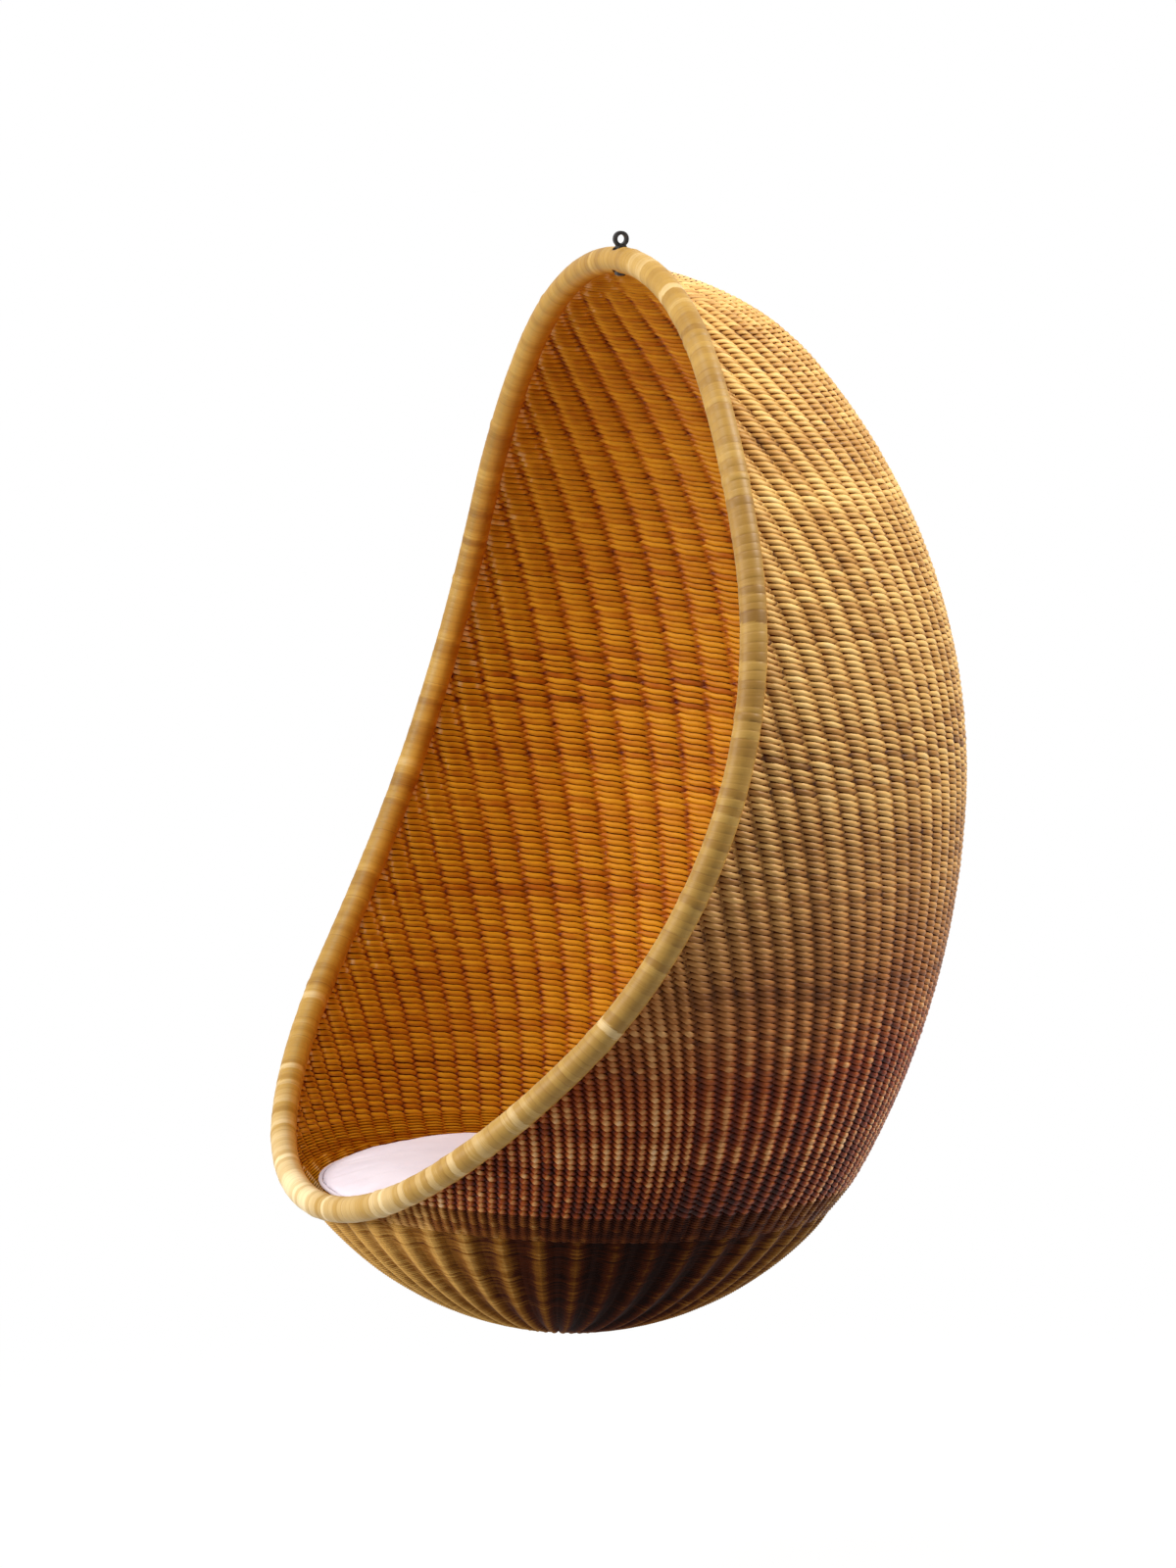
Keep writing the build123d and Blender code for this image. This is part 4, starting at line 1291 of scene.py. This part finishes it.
def strand_fibres(tree, fibres):
    """Streak and mottle of the fibres along a strand."""
    uv = add(tree, "ShaderNodeUVMap", uv_map="strand").outputs["UV"]
    return add(tree, "ShaderNodeGroup", {"Vector": uv, **fibres}, node_tree=FIBRES).outputs


def fibre_tone(tree, fibre, amount):
    """The strand's own shade, varied by its fibres."""
    centred = calculate(tree, "ADD", fibre, -0.5)
    return calculate(tree, "MULTIPLY_ADD", centred, amount, value_of(tree, "tone"))


def rattan_material(name, outer, inner, roughness, shine, low=None):
    """Rattan core: shade by weaver, one colour outside, one inside, warmer partly as painted bounce
    light, and one low on the outside, darker partly as painted shade.
    """
    material, tree, shader = make_material(name)
    fibres = strand_fibres(tree, CORE_FIBRES)
    tone = fibre_tone(tree, fibres["Mottle"], CORE_MOTTLING)
    colour = ramp(tree, tone, outer)
    if low:
        brown_and_shade = add(tree, "ShaderNodeGroup", {"Vector": place_of(tree)}, node_tree=BROWN_AND_SHADE)
        colour = mix(tree, brown_and_shade.outputs["Share"], colour, ramp(tree, tone, low))
    inside = remap(tree, value_of(tree, "inner"), *INSIDE_FADE)
    colour = mix(tree, inside, colour, ramp(tree, tone, inner))
    feed(
        tree,
        shader,
        {
            "Base Color": colour,
            "Roughness": roughness,
            "Specular IOR Level": shine,
            "Normal": bump(tree, fibres["Streak"], 0.25, FIBRE_RELIEF),
        },
    )
    return material


def peel_material():
    """Glossy rattan peel: streaked strips with dark edges, with painted amber bounce light towards
    the inside of the egg.
    """
    material, tree, shader = make_material("rattan_peel")
    fibres = strand_fibres(tree, PEEL_FIBRES)
    tone = fibre_tone(tree, fibres["Streak"], PEEL_STREAKING)
    painted_bounce = calculate(tree, "MULTIPLY", value_of(tree, "painted_bounce"), PEEL_BOUNCE)
    colour = mix(tree, painted_bounce, ramp(tree, tone, PEEL_STRAW), ramp(tree, tone, PEEL_BOUNCE_AMBER))
    edge = calculate(tree, "MULTIPLY", value_of(tree, "edge"), PEEL_EDGE_SHARE)
    feed(
        tree,
        shader,
        {
            "Base Color": mix(tree, edge, colour, PEEL_EDGE),
            "Roughness": 0.48,
            "Specular IOR Level": 0.28,
            "Normal": bump(tree, fibres["Streak"], 0.2, FIBRE_RELIEF),
        },
    )
    return material


def cloth_material():
    """Plain pale cloth with a fine square weave."""
    material, tree, shader = make_material("pad_cloth")
    place = place_of(tree)
    thread = {"Vector": place, "Scale": THREAD_SCALE, "Distortion": 0.6}
    warp = add(tree, "ShaderNodeTexWave", thread, bands_direction="X").outputs["Fac"]
    weft = add(tree, "ShaderNodeTexWave", thread, bands_direction="Y").outputs["Fac"]
    weave = calculate(tree, "MULTIPLY", warp, weft)
    feed(
        tree,
        shader,
        {
            "Base Color": ramp(tree, noise(tree, place, 9.0, 4.0), PALE_CLOTH),
            "Roughness": 0.85,
            "Sheen Weight": 0.25,
            "Normal": bump(tree, weave, 0.2, THREAD_RELIEF),
        },
    )
    return material


def metal_material(name, colours, metallic, roughness):
    """Metal whose colour, gloss and surface vary with its grain."""
    material, tree, shader = make_material(name)
    grain = add(tree, "ShaderNodeGroup", {"Vector": place_of(tree)}, node_tree=GRAIN)
    grain = grain.outputs["Grain"]
    feed(
        tree,
        shader,
        {
            "Base Color": ramp(tree, grain, colours),
            "Metallic": metallic,
            "Roughness": remap(tree, grain, low=roughness - 0.1, high=roughness + 0.15),
            "Normal": bump(tree, grain, 0.15, METAL_RELIEF),
        },
    )
    return material


WEAVE = rattan_material("woven_rattan", STRAW, AMBER, 0.42, 0.15, LOW_BROWN_AND_SHADE)
BASE_WEAVE = rattan_material("base_rattan", BASE_STRAW, AMBER, 0.5, 0.04)
STAKES = rattan_material("stake_rattan", STAKE_DARK, STAKE_DARK, 0.55, 0.06, STAKE_LOW)
BAND = rattan_material("dark_rattan", BAND_DARK, AMBER, 0.45, 0.05)
PEEL = peel_material()
CLOTH = cloth_material()
STEEL = metal_material("dark_steel", STEEL_DARK, 0.8, 0.42)
BRASS = metal_material("turned_brass", BRASS_YELLOW, 1.0, 0.3)


def paint(obj, material):
    """Gives an object one material."""
    obj.data.materials.clear()
    obj.data.materials.append(material)


for name, obj in pieces.items():
    if name.startswith("base_"):
        paint(obj, BASE_WEAVE)
    elif "courses" in name:
        paint(obj, WEAVE)
    elif "stakes" in name:
        paint(obj, STAKES)
for name, material in (
    ("waling_band", BAND),
    ("rim_peel", PEEL),
    ("rim_pole_bent", STAKES),
    ("seat_pad", CLOTH),
    ("seat_pad_welt", CLOTH),
):
    paint(pieces[name], material)
for material, nodes in (
    (STEEL, ("hanging_eye", "swivel_stem", "clevis_pin")),
    (STEEL, ("pin_retaining_ring", "load_washer", "lock_nut")),
    (BRASS, ("thrust_washer", "swivel_bush")),
    (STAKES, ("base_sticks",)),
):
    for name in nodes:
        paint(NODES[name], material)

# Camera, fitted to the photo about the egg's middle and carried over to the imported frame
FIT_LEAN = math.radians(2.59)
AZIMUTH = math.radians(66.68)
ELEVATION = math.radians(7.88)
DISTANCE = 7092.0
SHIFT_RIGHT = 7.1
SHIFT_UP = 15.7


def way_to(azimuth, elevation):
    """Direction towards this azimuth, counted from the front, and elevation."""
    level = math.cos(elevation)
    return np.array([math.sin(azimuth) * level, -math.cos(azimuth) * level, math.sin(elevation)])


right = np.array([math.cos(AZIMUTH), math.sin(AZIMUTH), 0])
back = way_to(AZIMUTH, ELEVATION)
up = np.cross(back, right)
to_egg = np.array(Matrix.Rotation(FIT_LEAN, 3, "X"))
fit_place = back * DISTANCE + right * SHIFT_RIGHT + up * SHIFT_UP
facing = LEAN @ to_egg @ np.stack([right, up, back], -1)
place = to_frame(to_egg @ fit_place + np.array([0, 0, EGG_HEIGHT / 2]))
camera_data = bpy.data.cameras.new("camera")
camera_data.sensor_fit = "VERTICAL"
camera_data.sensor_height = 24.0
camera_data.lens = 95.0
camera_data.clip_end = 60.0
camera = linked("camera", camera_data)
camera.matrix_world = Matrix.Translation(Vector(place)) @ Matrix(facing.tolist()).to_4x4()
bpy.context.scene.camera = camera

# Stage and light, in metres
FLOOR_HEIGHT = CAD_BOX[0][2] - 0.45
FLOOR_RADIUS = 14.0
FLOOR_SIDES = 96
FLOOR_NEAR = 0.5
FLOOR_FAR = 2.2
FLOOR_NEAR_WHITE = 0.88
FLOOR_GREY = greys((0.0, 0.42), (1.0, 0.95))
AMBIENT = 0.22
LAMP_AIM = Vector((0, 0, -0.65))

# Name, azimuth and elevation in degrees, distance, side, power in watts, colour
LAMPS = (
    ("key", 154, 42, 4.0, 1.6, 185, (1.0, 0.97, 0.92)),
    ("front", -4, 13, 4.2, 1.8, 142, (1.0, 0.98, 0.95)),
    ("window", 16, 58, 4.2, 1.8, 125, (1.0, 0.98, 0.95)),
)


def white_to_the_eye(tree):
    """One where the background is looked at, also by reflection, and nought where it lights."""
    path = add(tree, "ShaderNodeLightPath").outputs
    seen = calculate(tree, "MAXIMUM", path["Is Camera Ray"], path["Is Glossy Ray"])
    return calculate(tree, "MAXIMUM", seen, path["Is Transmission Ray"])


def make_floor():
    """Wide round floor that keeps the shadow below the egg, and is white further off."""
    turn = round_angles(FLOOR_SIDES)
    level = np.zeros(FLOOR_SIDES)
    points = np.stack([FLOOR_RADIUS * np.cos(turn), FLOOR_RADIUS * np.sin(turn), level], -1)
    obj = faced_object("floor", points, [tuple(range(FLOOR_SIDES))])
    obj.location.z = FLOOR_HEIGHT
    material, tree, shader = make_material("floor_white")
    seen = white_to_the_eye(tree)
    far = add(tree, "ShaderNodeVectorMath", {0: place_of(tree)}, operation="LENGTH")
    white = remap(tree, far.outputs["Value"], FLOOR_NEAR, FLOOR_FAR, low=FLOOR_NEAR_WHITE)
    share = calculate(tree, "MULTIPLY", seen, white)
    feed(tree, shader, {"Base Color": ramp(tree, seen, FLOOR_GREY), "Roughness": 0.9})
    glow = add(tree, "ShaderNodeEmission", {"Color": (1, 1, 1, 1), "Strength": 1.0})
    shaders = {0: share, 1: shader.outputs[0], 2: glow.outputs[0]}
    both = add(tree, "ShaderNodeMixShader", shaders)
    tree.links.new(both.outputs[0], tree.nodes["Material Output"].inputs[0])
    obj.data.materials.append(material)


make_floor()
for name, azimuth, elevation, distance, side, power, colour in LAMPS:
    lamp = bpy.data.lights.new(name, "AREA")
    lamp.shape = "SQUARE"
    lamp.size = side
    lamp.energy = power
    lamp.color = colour
    obj = linked(name, lamp)
    way = Vector(way_to(math.radians(azimuth), math.radians(elevation)))
    obj.location = LAMP_AIM + way * distance
    obj.rotation_euler = way.to_track_quat("Z", "Y").to_euler()

world = bpy.data.worlds.new("studio")
world.use_nodes = True
background = world.node_tree.nodes["Background"]
background.inputs["Color"].default_value = (1, 1, 1, 1)
strength = remap(world.node_tree, white_to_the_eye(world.node_tree), low=AMBIENT)
world.node_tree.links.new(strength, background.inputs["Strength"])
bpy.context.scene.world = world
bpy.context.scene.view_settings.view_transform = "Standard"
